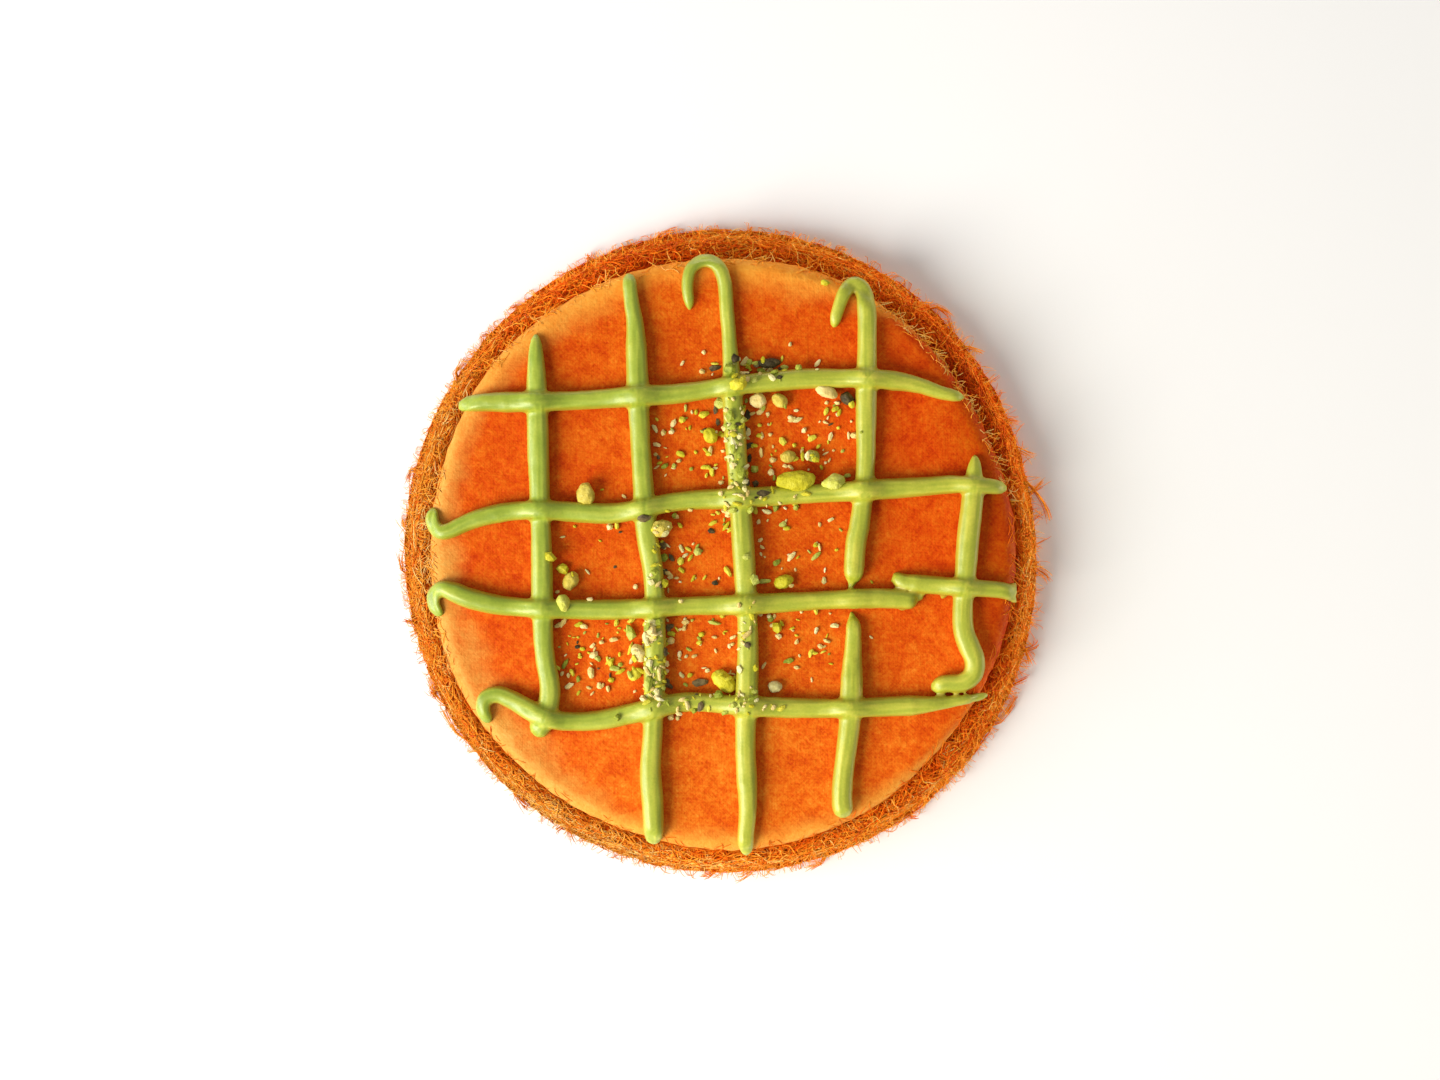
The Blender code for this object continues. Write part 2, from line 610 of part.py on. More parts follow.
def is_clear(spot, size, routes):
    """True where a crumb stays off the strokes and off the larger pieces."""
    for name, (route, length) in routes.items():
        nearest = min((point - spot).length for point in route)
        if nearest < 0.55 * STROKES[name]["width"] * MM + 0.8 * size + 2 * GAP:
            return False
    for x, y, length, width, *_ in PISTACHIOS:
        reach = 0.5 * max(length, width) * MM + 0.8 * size + 2 * GAP
        if (Vector((x, y)) * MM - spot).length < reach:
            return False
    return True


def make_crumbs(rng):
    """Crumbs in patches between the strokes, thinning out from the middle of each patch."""
    routes = {name: smooth_route(stroke["route"], 2 * MM) for name, stroke in STROKES.items()}
    crumbs = []
    for x, y, spread_x, spread_y, count in CRUMB_PATCHES:
        placed = 0
        for _ in range(CRUMB_TRIES * count):
            if placed == count:
                break
            spot = Vector((x + rng.uniform(-1, 1) * spread_x, y + rng.uniform(-1, 1) * spread_y)) * MM
            size = rng.uniform(*CRUMB_SIZE)
            if not is_clear(spot, size, routes):
                continue
            height = surface_height(*spot) + (0.5 * CRUMB_FLAT - CRUMB_SINK) * size
            crumbs.append(make_object(f"crumb_{len(crumbs)}",
                                      make_crumb(Vector((*spot, height)), size, rng)))
            placed += 1
    return crumbs


def build_pressed_top(material):
    top = make_object("pressed_top", make_pressed_top(), material)
    crumbs = make_crumbs(random.Random(31))
    apply_boolean(top, "UNION", crumbs)
    remove_objects(crumbs)
    keep_largest_body(top)


def main():
    clear_scene()
    pastry = make_material("pressed_pastry", (0.80, 0.16, 0.015), 0.45)
    shreds = make_material("shredded_pastry", (0.70, 0.17, 0.02), 0.6)
    cream = make_material("pistachio_cream", (0.38, 0.50, 0.06), 0.35)
    nuts = make_material("pistachio", (0.62, 0.62, 0.10), 0.6)
    build_shredded_base(shreds)
    build_pressed_top(pastry)
    cutters = build_cream(cream)
    build_pistachios(nuts, cutters)
    remove_objects(cutters)


main()
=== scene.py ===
"""A round kunafa dressed for rendering: pressed pastry face, shredded fringe, piped pistachio cream
and chopped pistachios. Everything is in metres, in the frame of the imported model."""
import math
import random
from functools import partial

import bmesh
import bpy
import numpy as np
from mathutils import Matrix, Vector, noise
from mathutils.bvhtree import BVHTree
from mathutils.kdtree import KDTree


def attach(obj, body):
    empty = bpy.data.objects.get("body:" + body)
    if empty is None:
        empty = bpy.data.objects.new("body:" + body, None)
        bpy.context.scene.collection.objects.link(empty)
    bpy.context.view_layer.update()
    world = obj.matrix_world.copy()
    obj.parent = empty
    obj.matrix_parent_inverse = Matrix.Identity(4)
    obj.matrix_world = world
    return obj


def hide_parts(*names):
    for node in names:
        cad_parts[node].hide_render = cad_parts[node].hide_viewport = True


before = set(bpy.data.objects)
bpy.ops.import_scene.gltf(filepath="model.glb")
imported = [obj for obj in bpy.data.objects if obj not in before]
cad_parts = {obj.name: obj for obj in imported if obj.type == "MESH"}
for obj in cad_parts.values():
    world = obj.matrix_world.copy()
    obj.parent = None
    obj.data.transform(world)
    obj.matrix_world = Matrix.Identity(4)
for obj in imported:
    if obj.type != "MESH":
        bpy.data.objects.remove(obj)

MM = 0.001
TINY = 1e-12                    # least length by which anything is divided
HIGH_UP = 0.1                   # m, above everything
# How many times fewer small pieces, and how much coarser skins, there are; both are 1.
FEWER, COARSER = ((1, 1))

# ---- the model's own sizes
TOP_RADIUS = 119.0 * MM
TOP_SHIFT = 1.8 * MM            # how far the pressed layer lies off the middle of the fringe
TOP_SHIFT_SIDE = math.radians(195)
TOP_SURFACE = 25.5 * MM
TOP_DOME = 0.9 * MM
TOP_WAVE = 0.25 * MM
RIM_ACROSS = 6.5 * MM
RIM_DOWN = 6.0 * MM
RIM_UNEVEN = 0.7 * MM
RIM_INSET = 1.2 * MM
BASE_HEIGHT = 12.0 * MM
BASE_RADIUS = 129.0 * MM
BASE_NARROWER = 4.5 * MM        # how much narrower the fringe is at its narrowest side
BASE_NARROW_SIDE = math.radians(10)
# The fringe's profile from under the pressed layer (0) to its foot (1): share of its width, height.
BASE_PROFILE = [(0.0, 12.0 * MM), (0.12, 15.0 * MM), (0.36, 15.6 * MM), (0.66, 12.8 * MM),
                (0.88, 7.0 * MM), (1.0, 1.0 * MM)]
FRINGE_RADIUS = 134.5 * MM
# Width of the paler band inside the rim, by side: degrees, mm. Where it is negative there is none.
# The band is partly the rim's own paler bake and partly painted light: widest towards the lower left,
# none at the right.
PALE_AND_LIT_BAND = [(-15, -3), (38, -3), (52, 2), (66, 11), (76, 16), (95, 10), (118, 13), (136, 12),
             (150, 9), (163, 12), (185, 14), (202, 18), (225, 17), (250, 10), (275, 9), (300, 8),
             (320, 2), (345, -3)]
PALE_EDGE = 3.0 * MM            # least width over which the band's edge fades
GAP = 0.3 * MM
CREAM_RISE = 0.78               # height of a stroke over its width
CREAM_SINK = 0.45               # how far an upper stroke sinks into the one below it
CREAM_DROOP = 0.9               # how far round the rim's rounding an overhanging end bends
CREAM_SWELL = 0.05              # share by which a stroke's width comes and goes
CREAM_SWELL_LENGTH = 9.0 * MM

# Route of each stroke seen from above, in mm. thin = for the start and the end, the share of the
# width there and how far from the end the width is full; tip = length of the taper at each end.
STROKES = {
    "along_1": dict(width=8.5, thin=((0.8, 20), (0.95, 20)), tip=(16, 4), route=[
        (-76.5, 88), (-76, 68), (-75.3, 40), (-74, 0), (-73.4, -31), (-72.6, -42), (-70.5, -56),
        (-73, -67.5), (-77.3, -73.5)]),
    "along_2": dict(width=8.5, thin=((0.72, 30), (0.95, 20)), tip=(6, 6), route=[
        (-39.3, 112.5), (-38, 101), (-36.3, 88), (-34.8, 53), (-32, 10), (-29.2, -9), (-28.4, -31),
        (-28.8, -58), (-29.6, -76), (-30.3, -88), (-29.4, -101), (-29, -118)]),
    "along_3": dict(width=8.7, thin=((0.6, 100), (0.7, 30)), tip=(9, 6), route=[
        (-14.5, 97), (-15.5, 108), (-13.5, 114.5), (-8.5, 117.3), (-3.5, 115.2), (-0.6, 108.5),
        (0.3, 98), (1.6, 81), (3.2, 53), (6.2, 12), (8.2, -20), (8.8, -40), (7.8, -76), (8.8, -101),
        (7.9, -115), (8.4, -122.5)]),
    "along_4": dict(width=8.1, thin=((0.6, 32), (1.0, 20)), tip=(6, 5), route=[
        (43.3, 90), (44.6, 96), (46.6, 102), (49.2, 106.6), (52.5, 107.8), (55.3, 104.8), (56.4, 99),
        (56.7, 88), (56.2, 55), (56, 35), (53.9, 13), (52, 3), (51, -12.5)]),
    "along_5": dict(width=8.7, thin=((0.75, 25), (0.95, 15)), tip=(6, 5), route=[
        (51, -25.5), (51.2, -34), (50.6, -48), (49.8, -66), (48.6, -77), (47.1, -89), (46.5, -99),
        (47.5, -107)]),
    "along_6": dict(width=8.7, thin=((0.85, 16), (0.8, 30)), tip=(13, 5), route=[
        (100.2, 39), (98.8, 20), (97.1, 5), (96, -10), (95, -22), (95.3, -31), (97.4, -37.5),
        (99.8, -43.5), (99, -49.5), (94, -52.6), (88, -52.8), (82.5, -55)]),
    "across_1": dict(width=8.0, thin=((0.85, 20), (0.62, 30)), tip=(6, 6), route=[
        (-108, 58.5), (-99, 60), (-75, 60.2), (-55, 61.1), (-34, 62.5), (-18, 63.6), (5, 66.9),
        (30, 69.3), (46, 69.6), (58, 69.4), (70, 68.3), (78, 66.7), (87, 63.8), (96, 62)]),
    "across_2": dict(width=8.0, thin=((0.72, 36), (0.75, 25)), tip=(5, 7), route=[
        (-118, 18), (-118, 11.8), (-115, 8), (-110.5, 8.7), (-106, 10.9), (-99, 13.6), (-88, 16),
        (-75, 16.8), (-57, 15.8), (-46, 15.4), (-34, 17.2), (-18, 20.4), (10, 21.8), (50, 24.3),
        (78, 26.2), (92, 27.1), (105, 26.4), (113.5, 25.6)]),
    "across_3": dict(width=7.9, thin=((0.68, 20), (0.9, 15)), tip=(5, 4), route=[
        (-114.3, -26), (-117.3, -22), (-117.6, -17.5), (-114.3, -14.8), (-110, -15.8), (-104, -18.2),
        (-97, -20.1), (-88, -21.7), (-70, -22.8), (-46, -23.1), (-18, -21.8), (15, -20.7), (46, -19),
        (62, -18.6), (77, -19.7)]),
    "across_4": dict(width=7.2, thin=((0.8, 10), (0.95, 10)), tip=(4, 3), route=[
        (67, -9), (72, -12), (86, -13.5), (101, -14.5), (111, -15.4), (117, -17.4)]),
    "across_5": dict(width=8.0, thin=((0.75, 30), (0.45, 32)), tip=(6, 6), route=[
        (-95, -69), (-97.6, -63.5), (-96.3, -58.7), (-91.5, -57.2), (-86, -59.3), (-79, -63.2),
        (-71, -66.6), (-62, -68), (-50, -67.4), (-36, -64.3), (-18, -60.4), (-8, -60.4), (5, -61.5),
        (25, -62.5), (46, -62.6), (78, -61.4), (95, -59.5), (106, -57.6)]),
}

# Torn bits at the strokes' ends, where the nozzle was pulled away: width, start and end (mm).
PULLED_BITS = [
    (5.0, (70.5, -14.0), (67.6, -8.2)), (3.4, (71.0, -10.5), (66.0, -12.0)),
    (4.4, (113.0, -16.0), (117.4, -12.4)), (4.4, (113.0, -16.4), (117.2, -20.6)),
    (4.6, (76.0, -20.0), (67.5, -21.8)), (4.0, (77.0, -19.0), (79.4, -16.6)),
    (3.4, (88.6, -16.0), (86.2, -19.2)), (3.2, (50.8, -27.0), (50.4, -23.4)),
    (3.6, (51.2, -11.0), (49.4, -15.2)), (3.2, (70.0, -21.4), (71.5, -24.0)),
]

# ---- how finely things are modelled
FACE_GRID = 280                 # squares along each side of the pastry's grid
FACE_RELIEF = [(0.10, 6, 0), (0.08, 2.2, 5)]    # layers: height and blotch size (mm), seed
RIM_RAGGED = 0.45 * MM          # how uneven the rim's rounding is
CREAM_VOXEL = 0.78 * MM
CREAM_POINTS = 24               # points round a bead before it is remeshed
CREAM_CENTRE = 0.28             # height of a bead's middle over its width
CREAM_SQUARE = 2.35             # 2 is a round section, more is squarer
CREAM_PRESS = 0.25 * MM         # how far a bead presses into the pastry
TIP_BLUNT = 0.15 * MM           # how much of a tip's taper is cut off
PULLED_TIP = (1.5, 2.5)         # mm, taper at both ends of a torn bit
CREAM_RIDGE = 1.1 * MM          # distance between the fine ridges along a stroke
CREAM_RIDGE_LENGTH = 22.0 * MM
CREAM_RIDGE_HEIGHT = 0.14       # mm
CREAM_LUMP = 3.5 * MM           # size of the cream's soft lumps
CREAM_LUMP_HEIGHT = 0.12        # mm
CREAM_BOUNCE_EDGE = (0.62, 1.0)        # share of the half width over which the sides get painted warm bounce light
NUT_VOXEL = 0.34 * MM
NUT_CHIPS = 9                   # flat chipped faces on each of the largest pieces
NUT_CHIP = (0.84, 0.97)         # how far out a chip cuts, as a share of the piece's reach
NUT_BUMPS = [(0.16, 1.6), (0.12, 0.7)]          # mm, height and size of the bumps on the skin
NUT_SWELL = 0.10                # mm, how far the skin lies outside the model's
CHUNK_POINTS = 15               # of the hull of a chopped bit
CHUNK_WOBBLE = (-0.24, 0.12)    # share by which those points lie in or out
CRUMB_UPRIGHT = 0.4             # how much of the ground's slope a crumb leaves out
CRUMB_TILT = 0.25               # radians, the most by which it tilts of its own
CRUMB_LIFT = 0.30               # how high its middle lies over the ground, as a share of its height
WELD = 0.001 * MM               # points closer than this become one

# ---- shredded fringe
# How the strands lie, from the pressed layer's side (0) over the bed's foot (1) to the last ones
# on the floor: share of the fringe's width, height.
STRAND_SLOPE = [(0.02, 14.5 * MM), (0.15, 15.5 * MM), (0.36, 15.6 * MM), (0.66, 12.8 * MM),
                (0.88, 7.5 * MM), (1.04, 2.6 * MM), (1.26, 0.7 * MM)]
STRAND_POINTS = 7
STRAND_SIDES = 3
# count, seed, length, half thickness and height above the slope (mm)
STRAND_KINDS = {
    "fringe_strands_low": dict(count=5100, seed=3, length=(6, 17), half=(0.20, 0.34),
                               layer=(-0.7, 0.7)),
    "fringe_strands_top": dict(count=5100, seed=4, length=(5, 17), half=(0.15, 0.28),
                               layer=(0.2, 1.6)),
}
STRAND_CURL = 0.22              # radians, how far a strand turns at each of its points
STRAND_WANDER = 0.2             # radians, how much that changes along it
STRAND_END_LIFT = 1.3           # mm, the most by which its ends stand off
STRAND_TONE = (0.34, 0.28)      # of the strands next to the pressed layer, darker partly as painted shade; how much paler outside
# How much paler or darker the fringe is by side, as painted light and shade: degrees, tone.
FRINGE_PAINTED_LIGHT = [(0, 0.14), (28, -0.26), (48, -0.20), (68, -0.03), (90, 0.01), (108, -0.22),
                (128, -0.20), (150, 0.00), (195, 0.00), (215, -0.06), (240, 0.16), (265, 0.11),
                (300, 0.06), (330, -0.07)]
# The side on which the strands next to the pressed layer are painted palest, as painted light, and by how
# much.
LIT_SIDE = math.radians(190)
LIT_TONE = 0.34
STRAND_VARIETY = 0.18           # how much one strand's tone differs from the next
BED_DEPTH = 0.8 * MM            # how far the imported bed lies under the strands
BED_POINTS = 420                # round each of its rings
BED_RINGS = 18
BED_RELIEF = [(0.8, 5, 2), (0.5, 1.8, 4)]       # layers: height and blotch size (mm), seed
# The fringe's loose threads, as in the model: each is a wisp of several strands.
THREAD_COUNT = 48
THREAD_SEED = 7
THREAD_WIDTH = 1.5 * MM
THREAD_LENGTH = (14 * MM, 25 * MM)
THREAD_START = (0 * MM, 6 * MM)
THREAD_CLEARANCE = 2.6 * MM
THREAD_SLANT = (0.5, 1.5)
THREAD_BEND = 0.4
THREAD_LIFT = (0.5 * MM, 3.5 * MM)
THREAD_POINTS = 5
WISP_STRANDS = 9
WISP_SPREAD = (0.42, 0.9)       # mm, how far apart they lie, and how much more at the far end
# Threads that lie over the pressed layer's edge: first and last side (degrees), how many, and
# their tone.
EDGE_THREADS = [(163, 204, 110, 0.6, 1.0), (90, 142, 100, 0.5, 0.9), (204, 270, 60, 0.3, 0.65),
                (270, 332, 60, 0.25, 0.6), (28, 90, 100, 0.5, 0.9), (-28, 28, 80, 0.3, 0.7),
                (10, 60, 100, 0.75, 1.0)]
# Fine hairs that stand off all along the fringe's outer side: lengths in mm, angles in radians.
HAIRS = dict(count=2200, share=(0.35, 1.0), slant=0.9, bend=0.10, length=(3.0, 9.0), climb=0.35,
             droop=0.12, half=(0.09, 0.16))

# ---- nuts: which colour each of the largest pieces has
NUT_KINDS = {
    "yellow": (1, 3, 9, 10, 14, 18),
    "lime": (2, 12),
    "green": (16,),
    "tan": (4, 5, 8, 11, 15),
    "ivory": (6, 7, 13, 17),
    "pale": (19,),
    "skin": (20, 21),
}

# Chopped bits that stand out, by colour: centre, length, width (mm) and turn (degrees).
CHOPPED = {
    "green": [
        (1.8, 73.2, 6, 5, 20), (29.1, 73.2, 3.3, 3, 0), (-1.9, 59.9, 6.6, 5, 10),
        (-16.2, 57.9, 1.6, 3.6, 0), (-24.6, 34.5, 3.6, 2.4, 30), (-20.9, 34.5, 2, 2.6, 0),
        (1.8, 54.5, 4, 5.6, 0), (3.4, 49.9, 2.4, 2.4, 0), (2.8, 41.2, 3, 5, 0),
        (6.1, 31.5, 4, 5, 0), (11.4, 33.2, 4, 3.6, 20), (48.8, 30.6, 3.4, 2, 10),
        (9.4, 17.2, 3, 4.6, -20), (2.8, 17.2, 4, 3, 0), (20.1, 17.9, 3, 4, 0),
        (28.1, 17.9, 2.6, 3, 0), (-20.6, 14.6, 2.4, 3, 0), (-24.8, -2.4, 4, 4, 30),
        (-11.5, 0.2, 3.4, 4, 0), (-43.4, -66.1, 3, 4, 0), (-59.4, -51.1, 2, 3, 0),
        (-64.8, -45.1, 2, 5, -35), (-38.4, -32.4, 4.6, 7, 15), (-30.8, -52.4, 4.6, 8, 0),
        (-27.1, -28.1, 4, 3, 30), (-4.8, -28.4, 6, 2, -15), (10.9, -11.1, 4, 5, 0),
        (8.2, -1.8, 4, 3, 20), (15.2, -11.8, 6, 2, 5), (-3.1, -57.8, 4, 4, 0),
        (11.2, -55.8, 3, 2.4, 0), (-12.8, -63.1, 3, 2.4, 20), (-16.1, -59.1, 3, 2.4, -20),
        (3.2, -61.1, 3, 2.6, 0), (54.1, 47.9, 1.4, 1.4, 0), (14.5, 72.4, 5, 3, -20),
        (19.4, 71.6, 4, 2.4, 30), (11.2, 68.6, 3.4, 3, 0), (23.6, 74.2, 4, 2, -10),
        (9.4, 76.4, 3, 2.6, 40)],
    "yellow": [
        (-17.6, 53.2, 3.6, 3, 20), (-8.9, 55.2, 5.6, 3.2, 25), (-1.2, 46.9, 3, 2.4, 0),
        (-6.9, 39.5, 3, 2.4, 0), (-5.6, 31.9, 2.4, 4.4, 0), (13.4, 46.9, 3, 2, 20),
        (13.4, 50.9, 2.2, 1.8, 0), (22.8, 44.5, 3, 4, 30), (27.4, 42.9, 2, 2.4, 0),
        (50.1, 59.5, 3.2, 4, 0), (45.1, 49.9, 1.8, 1.6, 0), (32.2, 23.3, 5, 2, -5),
        (24.4, 9.5, 3.4, 2.2, 10), (-18.1, -3.8, 3, 3.6, 0), (-70.8, -2.1, 5.6, 4, -25),
        (-65.4, -6.8, 6, 5, -15), (-25.4, -12.4, 4, 4.6, 0), (-43.8, 10.9, 2.4, 4, 0),
        (-38.4, -39.1, 2, 6, -20), (-34.4, -47.8, 5, 2, -25), (-9.8, -33.1, 3, 2.6, 0),
        (-10.8, -36.4, 2.6, 2.4, 0), (-1.4, -25.8, 2.6, 2, 0), (20.5, -30.4, 5, 5.4, 30),
        (11.6, -46.4, 2.6, 3.4, 0), (-61.8, -48.4, 2.2, 3.6, 25), (-46.4, -44.4, 2.8, 4, 0),
        (-5.4, 11.6, 4, 2, 20), (39.6, 108.2, 4.5, 3, -20)],
    "ivory": [
        (-9.6, 72.5, 2.6, 2.6, 0), (44.8, 59.9, 3, 2, 0), (-25.2, 47.9, 2, 2.8, 0),
        (-27.9, 43.2, 3.6, 2, -20), (-28.2, 39.2, 2, 1.6, 0), (-18.9, 36.5, 2.4, 2, 0),
        (-1.2, 40.5, 2, 1.6, 0), (-1.9, 27.9, 2.6, 2.4, 0), (-1.9, 23.2, 2.6, 2.4, 0),
        (14.1, 39.9, 2, 5.4, 5), (18.1, 31.9, 3, 3.4, 0), (16.8, 55.5, 2, 2, 0),
        (25.8, 54.2, 2.4, 2, 0), (31.4, 48.9, 2.4, 3, -25), (17.8, 47.2, 2, 1.8, 0),
        (18.8, 36.9, 3, 2.4, 0), (51.4, 46.9, 4, 3, 0), (50.4, 52.5, 1.2, 1.2, 0),
        (40.1, 35.9, 1.6, 1.4, 0), (0.8, 15.9, 3, 2.6, 0), (-14.2, 17.2, 2.4, 2, 0),
        (13.1, 12.2, 2, 2.4, 0), (-46.8, 10.2, 3, 3, 0), (-54.4, -19.4, 3, 2.4, 0),
        (-36.4, -14.1, 2.4, 2.4, 0), (-20.1, 14.2, 3, 2.4, 0), (-18.1, -19.8, 2.6, 2, 0),
        (-67.8, -16.1, 2, 1.6, 30), (-57.1, -29.8, 4, 2.4, -15), (-53.4, -41.4, 4.4, 3.2, 25),
        (-54.4, -48.4, 3, 6.4, 5), (-22.1, -35.6, 3.4, 3.4, 0), (-16.8, -30.4, 2, 3, -15),
        (25.9, -13.1, 3, 2, 0), (13.9, -25.1, 2.4, 2.2, 0), (15.2, -45.7, 1.4, 4, -30),
        (-22.1, -66.4, 3, 3, 0), (2.6, -37.1, 2, 1.8, 0), (-23.8, -47.8, 2.2, 2, 0)],
    "pale": [
        (-31.5, -34, 3, 7, 15), (-33, -38.8, 4, 5, -20), (-30.3, -44.5, 3, 4, 10),
        (-29, -28.4, 3, 3.4, 0), (-27.6, -56.5, 2.4, 4, 0), (7.4, 24.6, 2.6, 3.4, 20),
        (5.2, 46.2, 2.6, 3, 0), (17.3, -25.9, 2.4, 2.4, 0), (-19.4, -66.8, 2, 2.6, 0)],
    "skin": [
        (-4.6, 73.9, 6, 2.6, 10), (3.4, 77.5, 4, 4, 0), (8.8, 55.1, 2.6, 5, 0),
        (8.2, 49.0, 2, 4, 10), (9.4, 37.5, 2.2, 4.6, -10), (8.6, 28.0, 2, 3.6, 0),
        (-4.2, 57.0, 2.4, 4.2, 0), (-3.2, 52.0, 2, 3.4, 10), (-23.2, -30.5, 2.2, 4.4, 0),
        (8.8, 42.5, 5, 2.6, 30),
        (14.8, 23.2, 6, 3, 0), (-32.6, 13.9, 6, 4, 0), (-5.9, 8.5, 3.4, 2.4, 0),
        (-25.4, 2.8, 4, 4, 0), (-59.8, -38.1, 2.6, 1.8, 0), (-22.1, -29.8, 3, 2.4, 0),
        (8.6, -37.1, 3, 3, 0), (-10.1, -52.4, 8, 3.6, 5), (-10.1, -61.7, 2.6, 5, -15),
        (-24.4, -8, 3, 3, 0), (-44.6, -6, 1.6, 1.4, 0), (-5.2, 8, 1.8, 1.6, 0),
        (12, 27.5, 3, 3, 0), (-24.5, -40, 3, 4, 0), (-24, -52, 3, 3, 0), (12.6, 75.4, 4, 2.6, 35),
        (17.0, 75.6, 4.6, 2.4, -10), (8.6, 71.2, 3, 2.2, 70), (21.4, 69.8, 3, 2, 0)],
}
# Fine crumbs: centre and spread of each patch (mm), and how many.
FINE_PATCHES = [
    (-12, 43, 17, 14, 40), (27, 46, 20, 14, 50), (-12, 2, 14, 15, 30), (30, 0, 18, 14, 26),
    (-52, -42, 16, 15, 60), (-10, -40, 15, 14, 34), (30, -38, 14, 15, 28),
    (-28, -45, 5, 18, 80), (4, 45, 5, 18, 50), (12, 21, 16, 5, 26), (-26, -2, 4, 14, 26),
    (-52, 0, 14, 14, 6), (-12, 75, 14, 6, 4), (25, 78, 14, 6, 4), (9, -40, 4, 22, 24),
    (0, -61, 25, 4, 26), (0, 0, 60, 55, 16), (14, 73, 11, 5, 30),
]
FINE_SIZE = (1.0 * MM, 2.9 * MM)
FINE_SHARES = {"ivory": 0.40, "pale": 0.10, "yellow": 0.33, "green": 0.14, "skin": 0.03}

# ---- camera and lights
PHOTO_WIDTH = 1440              # pixels
PIXELS_PER_METRE = 2488         # at the height of the pastry's face
CAMERA_HEIGHT = 1.0             # above the face
CAMERA_SPOT = (-0.0024, 0.0048)
SENSOR = 36.0
# Where each soft light stands (m), its width and height (m), how wide it shines (degrees), power
# (W) and colour: the main one, a low one that gives the cream its sheen, and two warm strips close
# to the floor that shine level at the fringe's far sides.
LIGHTS = {
    "key": ((-1.55, -1.00, 1.25), (1.3, 1.3), 180, 64.0, (1.0, 0.96, 0.87)),
    "sheen": ((-2.11, -0.15, 0.61), (1.2, 1.2), 180, 20.0, (0.93, 0.95, 1.20)),
    "right": ((0.60, -0.02, 0.012), (0.55, 0.020), 8, 0.044, (1.0, 0.88, 0.60)),
    "back": ((-0.06, 0.60, 0.012), (0.55, 0.020), 8, 0.030, (1.0, 0.88, 0.60)),
}
FLOOR_HALF = 3.0                # m
FILL_STRENGTH = 0.39
FILL_COLOUR = (1.0, 0.98, 0.93, 1.0)


# -------- small helpers

def mesh_object(name, verts, faces, material, smooth=True):
    mesh = bpy.data.meshes.new(name)
    mesh.from_pydata(np.asarray(verts).tolist(), [], faces)
    mesh.polygons.foreach_set("use_smooth", [smooth] * len(mesh.polygons))
    mesh.materials.append(material)
    piece = bpy.data.objects.new(name, mesh)
    bpy.context.scene.collection.objects.link(piece)
    return piece


def place(piece, slot, *nodes):
    """Lets a piece move with the object and stand for CAD nodes, which it hides; the slot is not used."""
    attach(piece, "root")
    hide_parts(*nodes)


def mark(piece, values, name="tone"):
    """One value for each point, which the material reads."""
    layer = piece.data.attributes.new(name, "FLOAT", "POINT")
    layer.data.foreach_set("value", np.asarray(values, dtype=np.float32))


def mesh_points(mesh, field="co"):
    """The places or the normals of all the mesh's points."""
    values = np.empty(3 * len(mesh.vertices))
    mesh.vertices.foreach_get(field, values)
    return values.reshape(-1, 3)


def take_mesh(bm):
    """Points and faces of a bmesh, which is freed."""
    bm.verts.index_update()
    points = np.array([vert.co for vert in bm.verts])
    faces = [tuple(vert.index for vert in face.verts) for face in bm.faces]
    bm.free()
    return points, faces


def remesh(piece, voxel, smoothing):
    """One even skin over everything in the piece, smoothed."""
    skin = piece.modifiers.new("skin", "REMESH")
    skin.mode = "VOXEL"
    skin.voxel_size = voxel
    skin.use_smooth_shade = True
    soften = piece.modifiers.new("soften", "SMOOTH")
    soften.factor = 0.5
    soften.iterations = smoothing
    graph = bpy.context.evaluated_depsgraph_get()
    mesh = bpy.data.meshes.new_from_object(piece.evaluated_get(graph))
    piece.modifiers.clear()
    piece.data = mesh


def quads(numbers, after):
    """Faces between rows of point numbers; after = the number that follows each in its row."""
    corners = [numbers[:-1], after[:-1], after[1:], numbers[1:]]
    return np.stack(corners, -1).reshape(-1, 4).tolist()


def ring_faces(rings, count):
    """Quads between rings of equally many points, numbered ring by ring."""
    numbers = np.arange(rings * count).reshape(rings, count)
    return quads(numbers, np.roll(numbers, -1, axis=1))


def tube_faces(rings, count):
    """The same with both ends closed."""
    numbers = list(range(rings * count))
    return [*ring_faces(rings, count), numbers[count - 1::-1], numbers[-count:]]


def joined(parts):
    """Several sets of points and faces as one."""
    points, faces, first = [], [], 0
    for part, part_faces in parts:
        points.append(part)
        faces += [[first + number for number in face] for face in part_faces]
        first += len(part)
    return np.vstack(points), faces


def polar(radius, angle, height):
    """Points at some distances from the middle, angles and heights."""
    return np.stack(np.broadcast_arrays(radius * np.cos(angle), radius * np.sin(angle), height), -1)


def resample(route, places, wanted):
    """Points at the wanted places on a route whose own points lie at the given places."""
    return np.column_stack([np.interp(wanted, places, row) for row in route.T])


def unit(vectors):
    return vectors / (np.linalg.norm(vectors, axis=-1, keepdims=True) + TINY)


def noise_at(points, size, seed=0.0):
    """Smooth noise from -1 to 1 at each point, with blotches about as large as size."""
    shift = Vector((seed, 3.7 * seed, 1.3 * seed))
    return np.array([noise.noise(Vector(point) / size + shift) for point in points])


def relief_at(points, layers):
    """Several layers of noise together; each has a height and a blotch size (mm), and a seed."""
    return sum(height * noise_at(points, size * MM, seed) for height, size, seed in layers) * MM


# -------- material helpers

def new_material(name, roughness, specular):
    material = bpy.data.materials.new(name)
    material.use_nodes = True
    shader = material.node_tree.nodes["Principled BSDF"]
    shader.inputs["Roughness"].default_value = roughness
    shader.inputs["Specular IOR Level"].default_value = specular
    return material, material.node_tree


def feed(tree, sockets, values):
    """Sets a number or a colour on each named socket, or links the output of a node to it."""
    for name, value in values.items():
        if isinstance(value, bpy.types.NodeSocket):
            tree.links.new(value, sockets[name])
        else:
            sockets[name].default_value = (*value, 1.0) if isinstance(value, tuple) else value


